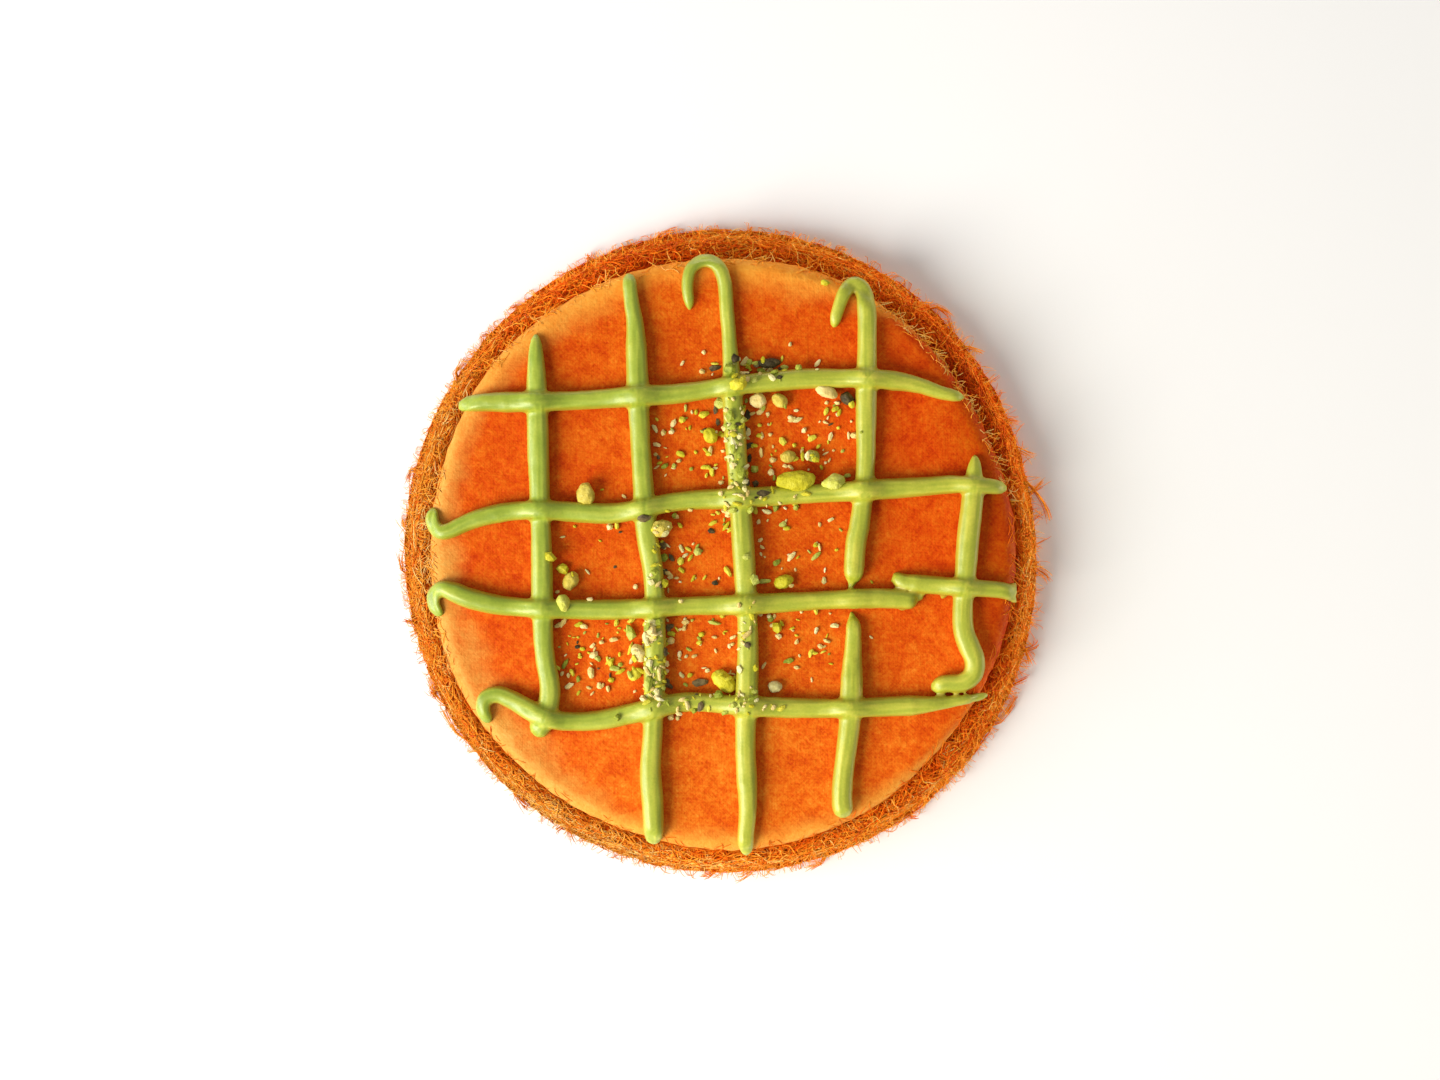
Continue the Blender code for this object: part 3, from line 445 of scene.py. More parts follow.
def node(tree, kind, values, **settings):
    """A new node with its settings and inputs."""
    made = tree.nodes.new(kind)
    for name, value in settings.items():
        setattr(made, name, value)
    feed(tree, made.inputs, values)
    return made


def finish(material, colour, relief, distance, strength=1.0):
    """Gives a material its colour and its fine relief."""
    tree = material.node_tree
    bump = node(tree, "ShaderNodeBump", {"Height": relief, "Distance": distance, "Strength": strength})
    shader = tree.nodes["Principled BSDF"]
    feed(tree, shader.inputs, {"Base Color": colour, "Normal": bump.outputs["Normal"]})
    return material


def position(tree):
    return node(tree, "ShaderNodeTexCoord", {}).outputs["Object"]


def attribute(tree, name):
    """A value that the mesh holds for each point."""
    return node(tree, "ShaderNodeAttribute", {}, attribute_name=name).outputs["Fac"]


def noise_texture(tree, size, detail=2.0, rough=0.5, stretch=(1, 1, 1), turn=0.0):
    """Noise with blotches of about the given size, stretched, then turned about Z."""
    form = {"Vector": position(tree), "Rotation": [0, 0, turn],
            "Scale": [size * amount for amount in stretch]}
    mapping = node(tree, "ShaderNodeMapping", form, vector_type="TEXTURE")
    look = {"Vector": mapping.outputs["Vector"], "Scale": 1.0, "Detail": detail, "Roughness": rough}
    return node(tree, "ShaderNodeTexNoise", look).outputs["Fac"]


def calculate(tree, operation, *values):
    return node(tree, "ShaderNodeMath", dict(enumerate(values)), operation=operation).outputs["Value"]


def weighted(tree, *shares):
    """The sum of several outputs, each times its share."""
    total = 0.0
    for source, share in shares:
        total = calculate(tree, "MULTIPLY_ADD", source, share, total)
    return total


def spread(tree, source, low, high):
    """Maps low..high smoothly onto 0..1."""
    values = {"Value": source, "From Min": low, "From Max": high}
    return node(tree, "ShaderNodeMapRange", values, interpolation_type="SMOOTHSTEP").outputs["Result"]


def colour_ramp(tree, source, stops):
    made = node(tree, "ShaderNodeValToRGB", {"Fac": source})
    elements = made.color_ramp.elements
    while len(elements) < len(stops):
        elements.new(0.5)
    for element, (at, colour) in zip(elements, stops):
        element.position = at
        element.color = (*colour, 1.0)
    return made.outputs["Color"]


def mix_colours(tree, share, first, second, blend="MIX"):
    made = node(tree, "ShaderNodeMix", {}, data_type="RGBA", blend_type=blend)
    sockets = {socket.identifier: socket for socket in [*made.inputs, *made.outputs]}
    feed(tree, sockets, {"Factor_Float": share, "A_Color": first, "B_Color": second})
    return sockets["Result_Color"]


def tint_sides(tree, colour, tints):
    """Multiplies a colour towards sides of the object. Each row: how much x and y count for the
    direction, where along it the tint starts and is full (mm), and the tint."""
    for across, up, start, full, tint in tints:
        spot = node(tree, "ShaderNodeSeparateXYZ", {"Vector": position(tree)})
        way = weighted(tree, (spot.outputs["X"], across), (spot.outputs["Y"], up))
        share = spread(tree, way, start * MM, full * MM)
        colour = mix_colours(tree, share, colour, tint, "MULTIPLY")
    return colour


# -------- materials

def pressed_fibres(tree):
    """Fine pressed threads that run in several directions over the face."""
    ways = ((0.0, 0.62), (1.45, 0.7), (0.75, 0.66), (2.3, 0.6))
    return weighted(tree, *[
        (noise_texture(tree, size * MM, detail=1.0, stretch=(1, 8, 1), turn=turn), 1 / len(ways))
        for turn, size in ways])


def pressed_material():
    """Baked orange, redder at the right, with painted shade and light by side, and a paler band of uneven
    width inside the rim that is partly painted light.
    """
    material, tree = new_material("pressed_pastry", 0.48, 0.07)
    blotches = noise_texture(tree, 13 * MM, detail=3.0)
    grain = noise_texture(tree, 1.3 * MM, detail=3.0, rough=0.65)
    fibres = pressed_fibres(tree)
    spots = noise_texture(tree, 4.0 * MM, detail=3.0, rough=0.6)
    mixed = weighted(tree, (grain, 0.21), (blotches, 0.22), (spots, 0.21), (fibres, 0.36))
    baked_and_painted_light = colour_ramp(tree, mixed, [
        (0.40, (0.54, 0.046, 0.0010)), (0.48, (0.69, 0.092, 0.0020)),
        (0.55, (0.78, 0.155, 0.0060)), (0.63, (0.86, 0.250, 0.0170))])
    # Redder and darker towards the right, partly deeper baking and partly painted shade; darker at the
    # far right rim
    # and towards the left, painted shade; brighter and more orange towards the bottom, painted light.
    baked_and_painted_light = tint_sides(tree, baked_and_painted_light, [
        (1.0, 0.35, 15, 100, (1.0, 0.76, 0.62)), (1.0, 0.2, 90, 112, (0.78, 0.74, 0.2)),
        (-1.0, 0.0, 20, 85, (0.96, 0.80, 0.75)), (0.0, -1.0, -20, 100, (1.13, 1.32, 1.9))])
    pale = colour_ramp(tree, mixed, [
        (0.40, (0.82, 0.255, 0.023)), (0.52, (0.88, 0.350, 0.044)), (0.63, (0.90, 0.435, 0.070))])
    # Darker towards the left, painted shade; paler towards the top, painted light.
    pale = tint_sides(tree, pale, [
        (-1.0, 0.0, 20, 85, (0.80, 0.88, 1.2)), (-0.3, 1.0, 50, 115, (1.11, 1.05, 0.85))])
    ragged = noise_texture(tree, 14 * MM, detail=4.0, rough=0.55)
    inset = calculate(tree, "MULTIPLY_ADD", ragged, 1.3, attribute(tree, "tone"))
    colour = mix_colours(tree, spread(tree, inset, 1.95, 0.75), baked_and_painted_light, pale)
    relief = calculate(tree, "MULTIPLY_ADD", grain, 0.6, fibres)
    return finish(material, colour, relief, 0.40 * MM, 0.9)


def bed_material():
    """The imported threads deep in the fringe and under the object."""
    material, tree = new_material("shredded_bed", 0.6, 0.04)
    tangle = pressed_fibres(tree)
    colour = colour_ramp(tree, tangle, [
        (0.38, (0.42, 0.042, 0.002)), (0.5, (0.72, 0.115, 0.005)), (0.64, (0.88, 0.225, 0.013))])
    return finish(material, colour, tangle, 1.2 * MM)


def strand_material():
    material, tree = new_material("pastry_strands", 0.5, 0.05)
    speckle = noise_texture(tree, 2.2 * MM)
    tone = calculate(tree, "MULTIPLY_ADD", speckle, 0.36, attribute(tree, "tone"))
    colour = colour_ramp(tree, calculate(tree, "SUBTRACT", tone, 0.18), [
        (0.0, (0.52, 0.050, 0.002)), (0.28, (0.92, 0.140, 0.004)), (0.52, (1.00, 0.275, 0.012)),
        (0.76, (1.00, 0.430, 0.036)), (1.0, (1.00, 0.660, 0.210))])
    # Darker towards the left, painted shade.
    colour = tint_sides(tree, colour, [(-1.0, -0.25, 35, 90, (0.75, 0.75, 0.8))])
    return finish(material, colour, noise_texture(tree, 0.5 * MM, detail=1.0), 0.08 * MM)


def cream_material():
    """Pale green, streaked lengthwise, warmer at its sides where it meets the pastry, which is painted
    bounce light; with painted light and shade by side.
    """
    material, tree = new_material("pistachio_cream", 0.44, 0.68)
    shader = tree.nodes["Principled BSDF"]
    shader.inputs["Subsurface Weight"].default_value = 0.10
    shader.inputs["Subsurface Radius"].default_value = (1.0, 0.9, 0.3)
    shader.inputs["Subsurface Scale"].default_value = 1.4 * MM
    clouds = noise_texture(tree, 9 * MM, detail=3.0)
    flecks = noise_texture(tree, 0.9 * MM)
    mixed = weighted(tree, (flecks, 0.25), (clouds, 0.35), (attribute(tree, "tone"), 0.40))
    green = colour_ramp(tree, mixed, [
        (0.30, (0.250, 0.350, 0.018)), (0.5, (0.340, 0.435, 0.030)), (0.70, (0.470, 0.535, 0.056))])
    # Yellower and brighter towards the right and the bottom, partly the cream's own tone and partly
    # painted light; darker at the far left, painted shade.
    green = tint_sides(tree, green, [
        (1.0, -0.25, -95, 30, (1.32, 1.11, 1.05)), (-1.0, 0.0, 74, 98, (0.90, 0.90, 0.70))])
    # The sides take a painted warm bounce of light from the pastry.
    warm = calculate(tree, "MULTIPLY", attribute(tree, "edge"), 0.70)
    colour = mix_colours(tree, warm, green, (0.46, 0.315, 0.018))
    return finish(material, colour, mixed, 0.25 * MM, 0.6)


NUT_COLOURS = {                 # darkest, middle, lightest
    "yellow": ((0.42, 0.38, 0.012), (0.64, 0.57, 0.024), (0.76, 0.70, 0.08)),
    "lime": ((0.42, 0.44, 0.035), (0.62, 0.62, 0.09), (0.80, 0.78, 0.25)),
    "green": ((0.14, 0.19, 0.012), (0.38, 0.43, 0.040), (0.66, 0.66, 0.16)),
    "tan": ((0.46, 0.31, 0.035), (0.64, 0.50, 0.065), (0.76, 0.63, 0.16)),
    "ivory": ((0.60, 0.42, 0.10), (0.84, 0.65, 0.22), (0.94, 0.82, 0.42)),
    "pale": ((0.60, 0.50, 0.15), (0.78, 0.70, 0.29), (0.90, 0.85, 0.48)),
    "skin": ((0.022, 0.020, 0.006), (0.075, 0.055, 0.022), (0.26, 0.19, 0.075)),
}


def nut_material(kind):
    material, tree = new_material(f"pistachio_{kind}", 0.5, 0.2)
    marbling = noise_texture(tree, 2.6 * MM, detail=4.0, rough=0.6)
    grain = noise_texture(tree, 0.6 * MM)
    tone = weighted(tree, (marbling, 0.6), (attribute(tree, "tone"), 0.4))
    flesh = colour_ramp(tree, tone, list(zip((0.26, 0.48, 0.72), NUT_COLOURS[kind])))
    return finish(material, flesh, calculate(tree, "ADD", marbling, grain), 0.3 * MM, 0.8)


# -------- pressed pastry

def rim_radius(angle):
    """The layer's slightly uneven outline, seen from the middle of the fringe."""
    uneven = np.sin(2 * angle - 2.0) + np.sin(5 * angle + 2.1) + 0.3 * np.sin(11 * angle)
    return TOP_RADIUS + TOP_SHIFT * np.cos(angle - TOP_SHIFT_SIDE) + RIM_UNEVEN * uneven


def face_height(x, y):
    reach = np.hypot(x, y) / TOP_RADIUS
    wave = np.sin(x / (17 * MM) + 0.4) * np.cos(y / (19 * MM) + 1.1)
    return TOP_SURFACE - TOP_DOME * reach * reach + TOP_WAVE * wave


def surface_height(x, y):
    """Height of what the cream lies on, bending over the rim's rounding."""
    inside = rim_radius(np.arctan2(y, x)) - RIM_ACROSS
    share = np.clip((np.hypot(x, y) - inside) / RIM_ACROSS, 0.0, CREAM_DROOP)
    return face_height(x, y) - RIM_DOWN * (1 - np.sqrt(1 - share * share))


def disc_grid(count):
    """A square grid bent into a disc: each point's share of the radius, and its angle."""
    u, v = np.meshgrid(np.linspace(-1, 1, count + 1), np.linspace(-1, 1, count + 1))
    u, v = u.ravel(), v.ravel()
    wide = np.abs(u) >= np.abs(v)
    reach = np.where(wide, u, v)
    safe = np.where(reach == 0, 1.0, reach)
    quarter = math.pi / 4
    angle = np.where(wide, quarter * v / safe, 2 * quarter - quarter * u / safe)
    return np.abs(reach), np.arctan2(reach * np.sin(angle), reach * np.cos(angle))


def pastry_points(share, angle):
    """Points on the layer's skin, from its middle (0) over the rim to the foot of its side (1)."""
    rim = rim_radius(angle)
    flat = TOP_RADIUS - RIM_ACROSS
    arc = 0.5 * math.pi * math.hypot(RIM_ACROSS, RIM_DOWN) / math.sqrt(2)
    underside = BASE_HEIGHT + GAP
    wall = TOP_SURFACE - RIM_DOWN - underside
    distance = share * (flat + arc + wall)
    inner = np.clip(distance / flat, 0, 1) * (rim - RIM_ACROSS)
    bend = np.clip((distance - flat) / arc, 0, 1) * 0.5 * math.pi
    down = np.clip((distance - flat - arc) / wall, 0, 1)
    radius = inner + RIM_ACROSS * np.sin(bend) - RIM_INSET * down
    x, y = radius * np.cos(angle), radius * np.sin(angle)
    height = face_height(x, y) - RIM_DOWN * (1 - np.cos(bend))
    height = height + (underside - height) * down
    return np.column_stack([x, y, height]), bend


def build_pastry(material):
    count = FACE_GRID // FEWER
    share, angle = disc_grid(count)
    points, bend = pastry_points(share, angle)
    ragged = RIM_RAGGED * noise_at(points, 4.5 * MM, 9) * np.sin(bend)
    outward = polar(np.sin(bend), angle, np.cos(bend))
    above_foot = np.where(share < 1, 1.0, 0.0)
    points += outward * ((relief_at(points, FACE_RELIEF) + ragged) * above_foot)[:, None]
    grid = np.arange(len(points)).reshape(count + 1, count + 1)
    edge = [*grid[0], *grid[1:, -1], *grid[-1, -2::-1], *grid[-2:0:-1, 0]]
    faces = quads(grid[:, :-1], grid[:, 1:])
    faces += [(b, a, len(points)) for a, b in zip(edge, edge[1:] + edge[:1])]
    points = np.vstack([points, (0, 0, BASE_HEIGHT + GAP)])
    piece = mesh_object("pastry_face", points, faces, material)
    side = np.arctan2(points[:, 1], points[:, 0])
    inside = rim_radius(side) - np.hypot(points[:, 0], points[:, 1])
    sides, widths = zip(*PALE_AND_LIT_BAND)
    band = np.interp(np.degrees(side), sides, widths, period=360) * MM
    mark(piece, 0.7 + (inside - 0.7 * band) / np.maximum(band, PALE_EDGE))
    place(piece, "pressed_pastry", "pressed_top")
    return piece


# -------- shredded fringe

def base_radius(angle):
    """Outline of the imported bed, narrower towards one side."""
    narrower = np.maximum(np.cos(angle - BASE_NARROW_SIDE), 0.0) ** 4
    return BASE_RADIUS - BASE_NARROWER * narrower


def slope_at(share, angle):
    """Radius and height at a share of the strands' slope, and the slope's length."""
    shares, heights = np.array(STRAND_SLOPE).T
    steps = np.hypot(np.diff(shares) * (BASE_RADIUS - TOP_RADIUS), np.diff(heights))
    lengths = np.concatenate([[0], np.cumsum(steps)])
    along = np.clip(share, 0, 1) * lengths[-1]
    rim = rim_radius(angle)
    radius = rim + (base_radius(angle) - rim) * np.interp(along, lengths, shares)
    return radius, np.interp(along, lengths, heights), lengths[-1]


def strand_paths(kind, rng):
    """Curved paths that lie every way on the slope, with ends that lift a little."""
    count = kind["count"] // FEWER
    angle = rng.uniform(0, 2 * math.pi, count)
    share = rng.uniform(0, 1, count)
    heading = rng.uniform(0, 2 * math.pi, count)
    curl = rng.normal(0, STRAND_CURL, count)
    step = rng.uniform(*kind["length"], count) * MM / (STRAND_POINTS - 1)
    layer = rng.uniform(*kind["layer"], count) * MM
    end_lift = rng.uniform(0, STRAND_END_LIFT, count) * MM
    first_share = share
    paths = np.zeros((count, STRAND_POINTS, 3))
    for k in range(STRAND_POINTS):
        radius, height, slope_length = slope_at(share, angle)
        middle_distance = 2 * k / (STRAND_POINTS - 1) - 1
        raised = layer + end_lift * middle_distance ** 2
        radius = np.minimum(radius + 0.5 * raised, FRINGE_RADIUS - 0.6 * MM)
        height = np.maximum(height + 0.8 * raised, 0.4 * MM)
        paths[:, k] = polar(radius, angle, height)
        angle = angle + step * np.cos(heading) / radius
        share = np.clip(share + step * np.sin(heading) / slope_length, 0, 1)
        heading = heading + curl + rng.normal(0, STRAND_WANDER, count)
    return paths, first_share


def profile_height(share):
    """Height of the model's fringe at a share of its width, level beyond its foot."""
    shares, heights = zip(*BASE_PROFILE)
    return float(np.interp(share, shares, heights))


def thread_path(index, rng):
    """Route of one loose thread: it leaves the fringe at a slant, and its end lifts off."""
    angle = 2 * math.pi * (index + rng.uniform(-0.3, 0.3)) / THREAD_COUNT
    radius = rim_radius(angle) + THREAD_CLEARANCE + rng.uniform(*THREAD_START)
    heading = angle + rng.choice((-1, 1)) * rng.uniform(*THREAD_SLANT)
    bend = rng.uniform(-THREAD_BEND, THREAD_BEND)
    step = rng.uniform(*THREAD_LENGTH) / (THREAD_POINTS - 1)
    lift = rng.uniform(*THREAD_LIFT)
    place = Vector((radius * math.cos(angle), radius * math.sin(angle)))
    path = []
    for i in range(THREAD_POINTS):
        angle = math.atan2(place.y, place.x)
        edge = rim_radius(angle)
        reach = max(place.length, edge + THREAD_CLEARANCE)
        reach = min(reach, FRINGE_RADIUS - 0.5 * THREAD_WIDTH)
        spot = place.normalized() * reach
        share = (reach - edge) / (base_radius(angle) - edge)
        height = profile_height(share) + 0.15 * THREAD_WIDTH
        height += lift * (i / (THREAD_POINTS - 1)) ** 2
        path.append((spot.x, spot.y, max(height, 0.62 * THREAD_WIDTH)))
        place = spot + step * Vector((math.cos(heading), math.sin(heading)))
        heading += bend
    return np.array(path)


def wisp_paths(rng):
    """Several strands side by side along each loose thread, together about as thick as it is."""
    draws = random.Random(THREAD_SEED)
    places = np.linspace(0, THREAD_POINTS - 1, STRAND_POINTS)
    paths = []
    for index in range(THREAD_COUNT):
        middle = resample(thread_path(index, draws), range(THREAD_POINTS), places)
        for _ in range(WISP_STRANDS):
            shift = rng.normal(0, WISP_SPREAD[0], 3) * MM
            splay = rng.normal(0, WISP_SPREAD[1], 3) * MM * np.linspace(0, 1, STRAND_POINTS)[:, None] ** 2
            path = middle + shift + splay
            path[:, 2] = np.maximum(path[:, 2], 0.4 * MM)
            paths.append(path)
    return np.array(paths)


def edge_paths(first, last, count, rng):
    """Threads that stick out over the edge of the pressed layer."""
    paths = []
    for _ in range(count):
        angle = math.radians(rng.uniform(first, last))
        radius = rim_radius(angle) + rng.uniform(-3.5, 0.5) * MM
        heading = angle + rng.choice((-1, 1)) * rng.uniform(0.2, 1.5)
        bend = rng.normal(0, 0.16)
        step = rng.uniform(2.5, 7) * MM / (STRAND_POINTS - 1)
        x, y = radius * math.cos(angle), radius * math.sin(angle)
        path = []
        for _ in range(STRAND_POINTS):
            beyond = (math.hypot(x, y) - rim_radius(math.atan2(y, x))) / MM
            height = surface_height(x, y) + (0.25 - 0.8 * max(beyond, 0.0)) * MM
            path.append((x, y, max(height, 16.0 * MM)))
            x, y = x + step * math.cos(heading), y + step * math.sin(heading)
            heading += bend
        paths.append(path)
    return np.array(paths)


def hair_paths(rng):
    """Fine hairs that leave the fringe's outer side at every slant."""
    count = HAIRS["count"] // FEWER
    angle = rng.uniform(0, 2 * math.pi, count)
    share = rng.uniform(*HAIRS["share"], count)
    slant = rng.normal(0, HAIRS["slant"], count)
    bend = rng.normal(0, HAIRS["bend"], count)
    step = rng.uniform(*HAIRS["length"], count) * MM / (STRAND_POINTS - 1)
    climb = rng.normal(0, HAIRS["climb"], count)
    radius, height, _ = slope_at(share, angle)
    paths = np.zeros((count, STRAND_POINTS, 3))
    for k in range(STRAND_POINTS):
        paths[:, k] = polar(radius, angle, height)
        radius = np.minimum(radius + step * np.cos(slant), FRINGE_RADIUS - 0.2 * MM)
        angle = angle + step * np.sin(slant) / radius
        height = np.maximum(height + step * climb, 0.3 * MM)
        slant = slant + bend
        climb = climb - HAIRS["droop"]
    return paths


def tube_mesh(paths, half):
    """Thin tubes along paths, thinner at their ends."""
    ahead = unit(np.gradient(paths, axis=1))
    side = unit(np.cross(ahead, (0.0, 0.0, 1.0)))
    up = np.cross(side, ahead)
    thickness = half[:, None] * (1 - 0.55 * np.linspace(-1, 1, STRAND_POINTS) ** 6)
    rings = []
    for i in range(STRAND_SIDES):
        turn = 2 * math.pi * (i + 0.5) / STRAND_SIDES
        rings.append(paths + thickness[..., None] * (math.cos(turn) * side + math.sin(turn) * up))
    faces = tube_faces(STRAND_POINTS, STRAND_SIDES)
    return joined((tube.reshape(-1, 3), faces) for tube in np.stack(rings, axis=2))


def strand_tones(paths, share, rng):
    """Darker next to the pressed layer and deep down, partly as painted shade, golden outside, in soft
    large patches, with painted light and shade by side.
    """
    middle = paths[:, STRAND_POINTS // 2]
    patches = noise_at(middle, 9 * MM, 6)
    depth = np.clip((share - 0.08) / 0.42, 0, 1)
    side = np.degrees(np.arctan2(middle[:, 1], middle[:, 0]))
    paler = np.interp(side, *zip(*FRINGE_PAINTED_LIGHT), period=360)
    lit_inside = LIT_TONE * np.maximum(np.cos(np.radians(side) - LIT_SIDE), 0)
    tones = STRAND_TONE[0] + STRAND_TONE[1] * depth + lit_inside * (1 - depth) + paler + 0.14 * patches
    return np.clip(tones + rng.normal(0, STRAND_VARIETY, len(paths)), 0, 1)


def add_strands(name, paths, half, tones, material):
    piece = mesh_object(name, *tube_mesh(paths, half), material)
    mark(piece, np.repeat(tones, STRAND_POINTS * STRAND_SIDES))
    place(piece, "shredded_pastry", "shredded_base")


def build_strands(material):
    for name, kind in STRAND_KINDS.items():
        rng = np.random.default_rng(kind["seed"])
        paths, share = strand_paths(kind, rng)
        half = rng.uniform(*kind["half"], len(paths)) * MM
        add_strands(name, paths, half, strand_tones(paths, share, rng), material)
    rng = np.random.default_rng(8)
    paths = [wisp_paths(rng)]
    tones = [rng.uniform(0.38, 0.72, len(paths[0]))]
    for first, last, count, low, high in EDGE_THREADS:
        paths.append(edge_paths(first, last, count, rng))
        tones.append(rng.uniform(low, high, count))
    paths = np.concatenate(paths)
    half = rng.uniform(0.12, 0.20, len(paths)) * MM
    add_strands("loose_threads", paths, half, np.concatenate(tones), material)
    hairs = hair_paths(rng)
    half = rng.uniform(*HAIRS["half"], len(hairs)) * MM
    add_strands("fringe_hairs", hairs, half, rng.uniform(0.4, 0.85, len(hairs)), material)


def build_bed(material):
    """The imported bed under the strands, flat below, with a thin ragged foot."""
    angle = np.linspace(0, 2 * math.pi, BED_POINTS, endpoint=False)
    rim, base = rim_radius(angle), base_radius(angle)
    rings = [polar(0.97 * rim, angle, BASE_HEIGHT)]
    for share in np.linspace(0.03, 1, BED_RINGS):
        ring = polar(rim + share * (base - rim), angle, profile_height(share) - BED_DEPTH)
        lump = relief_at(ring, BED_RELIEF) * min(1.0, 5 * share) * min(1.0, 6 * (1 - share))
        ring += polar(1, angle, 1) * lump[:, None]
        ring[:, 2] = np.maximum(ring[:, 2], 0.6 * MM)
        rings.append(ring)
    foot = base + (2.8 + 0.7 * noise_at(rings[-1], 4 * MM, 7)) * MM
    rings += [polar(foot, angle, height) for height in (0.45 * MM, 0.0)]
    faces = ring_faces(len(rings), BED_POINTS)
    top = len(rings) * BED_POINTS
    last = top - BED_POINTS
    for i in range(BED_POINTS):
        j = (i + 1) % BED_POINTS
        faces += [(j, i, top), (last + i, last + j, top + 1)]
    points = np.vstack([*rings, (0, 0, BASE_HEIGHT), (0, 0, 0)])
    place(mesh_object("shredded_bed", points, faces, material), "shredded_pastry", "shredded_base")


# -------- piped cream

def smooth_route(points, step=1.0 * MM):
    """Evenly spaced points on a Catmull-Rom curve through the given ones, and how far on each is."""
    given = np.array(points, dtype=float) * MM
    padded = np.vstack([2 * given[0] - given[1], given, 2 * given[-1] - given[-2]])
    t = np.linspace(0, 1, 24, endpoint=False)[:, None]
    fine = [0.5 * (2 * b + (c - a) * t + (2 * a - 5 * b + 4 * c - d) * t ** 2
                   + (3 * b - a - 3 * c + d) * t ** 3)
            for a, b, c, d in zip(padded, padded[1:], padded[2:], padded[3:])]
    fine = np.vstack(fine + [given[-1:]])
    lengths = np.concatenate([[0], np.cumsum(np.linalg.norm(np.diff(fine, axis=0), axis=1))])
    places = np.linspace(0, lengths[-1], round(lengths[-1] / step) + 1)
    return resample(fine, lengths, places), places


def stroke_widths(stroke, places):
    shares = []
    for (thinnest, reach), travelled in zip(stroke["thin"], (places, places[-1] - places)):
        progress = np.minimum(travelled / (reach * MM), 1)
        shares.append(thinnest + (1 - thinnest) * progress ** 2)
    swell = 1 + CREAM_SWELL * np.sin(places / CREAM_SWELL_LENGTH + 7 * stroke["width"])
    return stroke["width"] * MM * np.minimum(*shares) * swell


def pulled_widths(width, places):
    """A short pulled bit gets thinner towards its end."""
    return width * MM * (1 - 0.45 * places / places[-1])


def taper(distance, tip):
    share = np.clip(distance / (tip * MM), 0, 1)
    return np.sqrt(share * (2 - share))


def stroke_lifts(route, lower):
    """How far an upper stroke rises where it crosses the strokes below it."""
    lifts = np.zeros(len(route))
    for other, widths in lower:
        distances = np.linalg.norm(route[:, None] - other[None], axis=2)
        width = widths[distances.argmin(axis=1)]
        rise = (1 - CREAM_SINK) * CREAM_RISE * width
        lifts = np.maximum(lifts, rise * np.exp(-(distances.min(axis=1) / (0.85 * width)) ** 2))
    return lifts


def squarer(wave):
    """Bends a sine or cosine, so that a round section gets squarer."""
    return 0.5 * np.sign(wave) * np.abs(wave) ** (2 / CREAM_SQUARE)


def bead(stroke, widths, lower):
    """Points of one stroke's bead, ring by ring."""
    route, places = smooth_route(stroke["route"])
    ahead = unit(np.gradient(route, axis=0))
    side = np.column_stack([-ahead[:, 1], ahead[:, 0]])
    start, end = stroke["tip"]
    fade = taper(places + TIP_BLUNT, start) * taper(places[-1] - places + TIP_BLUNT, end)
    width = (widths(places) * fade)[:, None]
    turns = np.linspace(0, 2 * math.pi, CREAM_POINTS, endpoint=False)
    spots = route[:, None] + side[:, None] * (width * squarer(np.cos(turns)))[..., None]
    up = np.maximum(width * (CREAM_CENTRE + squarer(np.sin(turns))), -CREAM_PRESS)
    heights = surface_height(spots[..., 0], spots[..., 1]) + stroke_lifts(route, lower)[:, None] + up
    return np.concatenate([spots, heights[..., None]], axis=2)


def streak(piece):
    """Fine lengthwise ridges from the nozzle, and marks for the material: tone and edge, which places the
    painted bounce light.
    """
    marks = []
    for number, stroke in enumerate(STROKES.values()):
        route, places = smooth_route(stroke["route"])
        half = stroke_widths(stroke, places) / 2
        marks.append(np.column_stack([route, unit(np.gradient(route, axis=0)), places + number, half]))
    marks = np.vstack(marks)
    tree = KDTree(len(marks))
    for i, (x, y) in enumerate(marks[:, :2]):
        tree.insert((x, y, 0), i)
    tree.balance()
    points, normals = mesh_points(piece.data), mesh_points(piece.data, "normal")
    x, y, ahead_x, ahead_y, lengthwise, half = marks[[
        tree.find((x, y, 0))[1] for x, y, _ in points]].T
    across = (points[:, 1] - y) * ahead_x - (points[:, 0] - x) * ahead_y
    streaks = noise_at(np.column_stack([across / CREAM_RIDGE, lengthwise / CREAM_RIDGE_LENGTH,
                                        points[:, 2] / (2 * CREAM_RIDGE)]), 1.0)
    lumps = noise_at(points, CREAM_LUMP, 8)
    points += normals * ((CREAM_RIDGE_HEIGHT * streaks + CREAM_LUMP_HEIGHT * lumps) * MM)[:, None]
    piece.data.vertices.foreach_set("co", points.ravel())
    mark(piece, np.clip(0.5 + 0.6 * streaks, 0, 1))
    mark(piece, np.interp(np.abs(across) / half, CREAM_BOUNCE_EDGE, (0, 1)), "edge")


def build_cream(material):
    """All strokes as one skin, melted together where they cross."""
    lower, beads = [], []
    for name, stroke in STROKES.items():
        along = name.startswith("along")
        beads.append(bead(stroke, partial(stroke_widths, stroke), [] if along else lower))
        if along:
            route, places = smooth_route(stroke["route"], 2 * MM)
            lower.append((route, stroke_widths(stroke, places)))
    beads += [bead(dict(route=route, tip=PULLED_TIP), partial(pulled_widths, width), [])
              for width, *route in PULLED_BITS]
    parts = [(rings.reshape(-1, 3), tube_faces(len(rings), CREAM_POINTS)) for rings in beads]
    piece = mesh_object("cream_lattice", *joined(parts), material)
    remesh(piece, CREAM_VOXEL * COARSER, 4)
    streak(piece)
    place(piece, "pistachio_cream", *[f"cream_{name}" for name in STROKES])
    return piece


# -------- nuts and crumbs

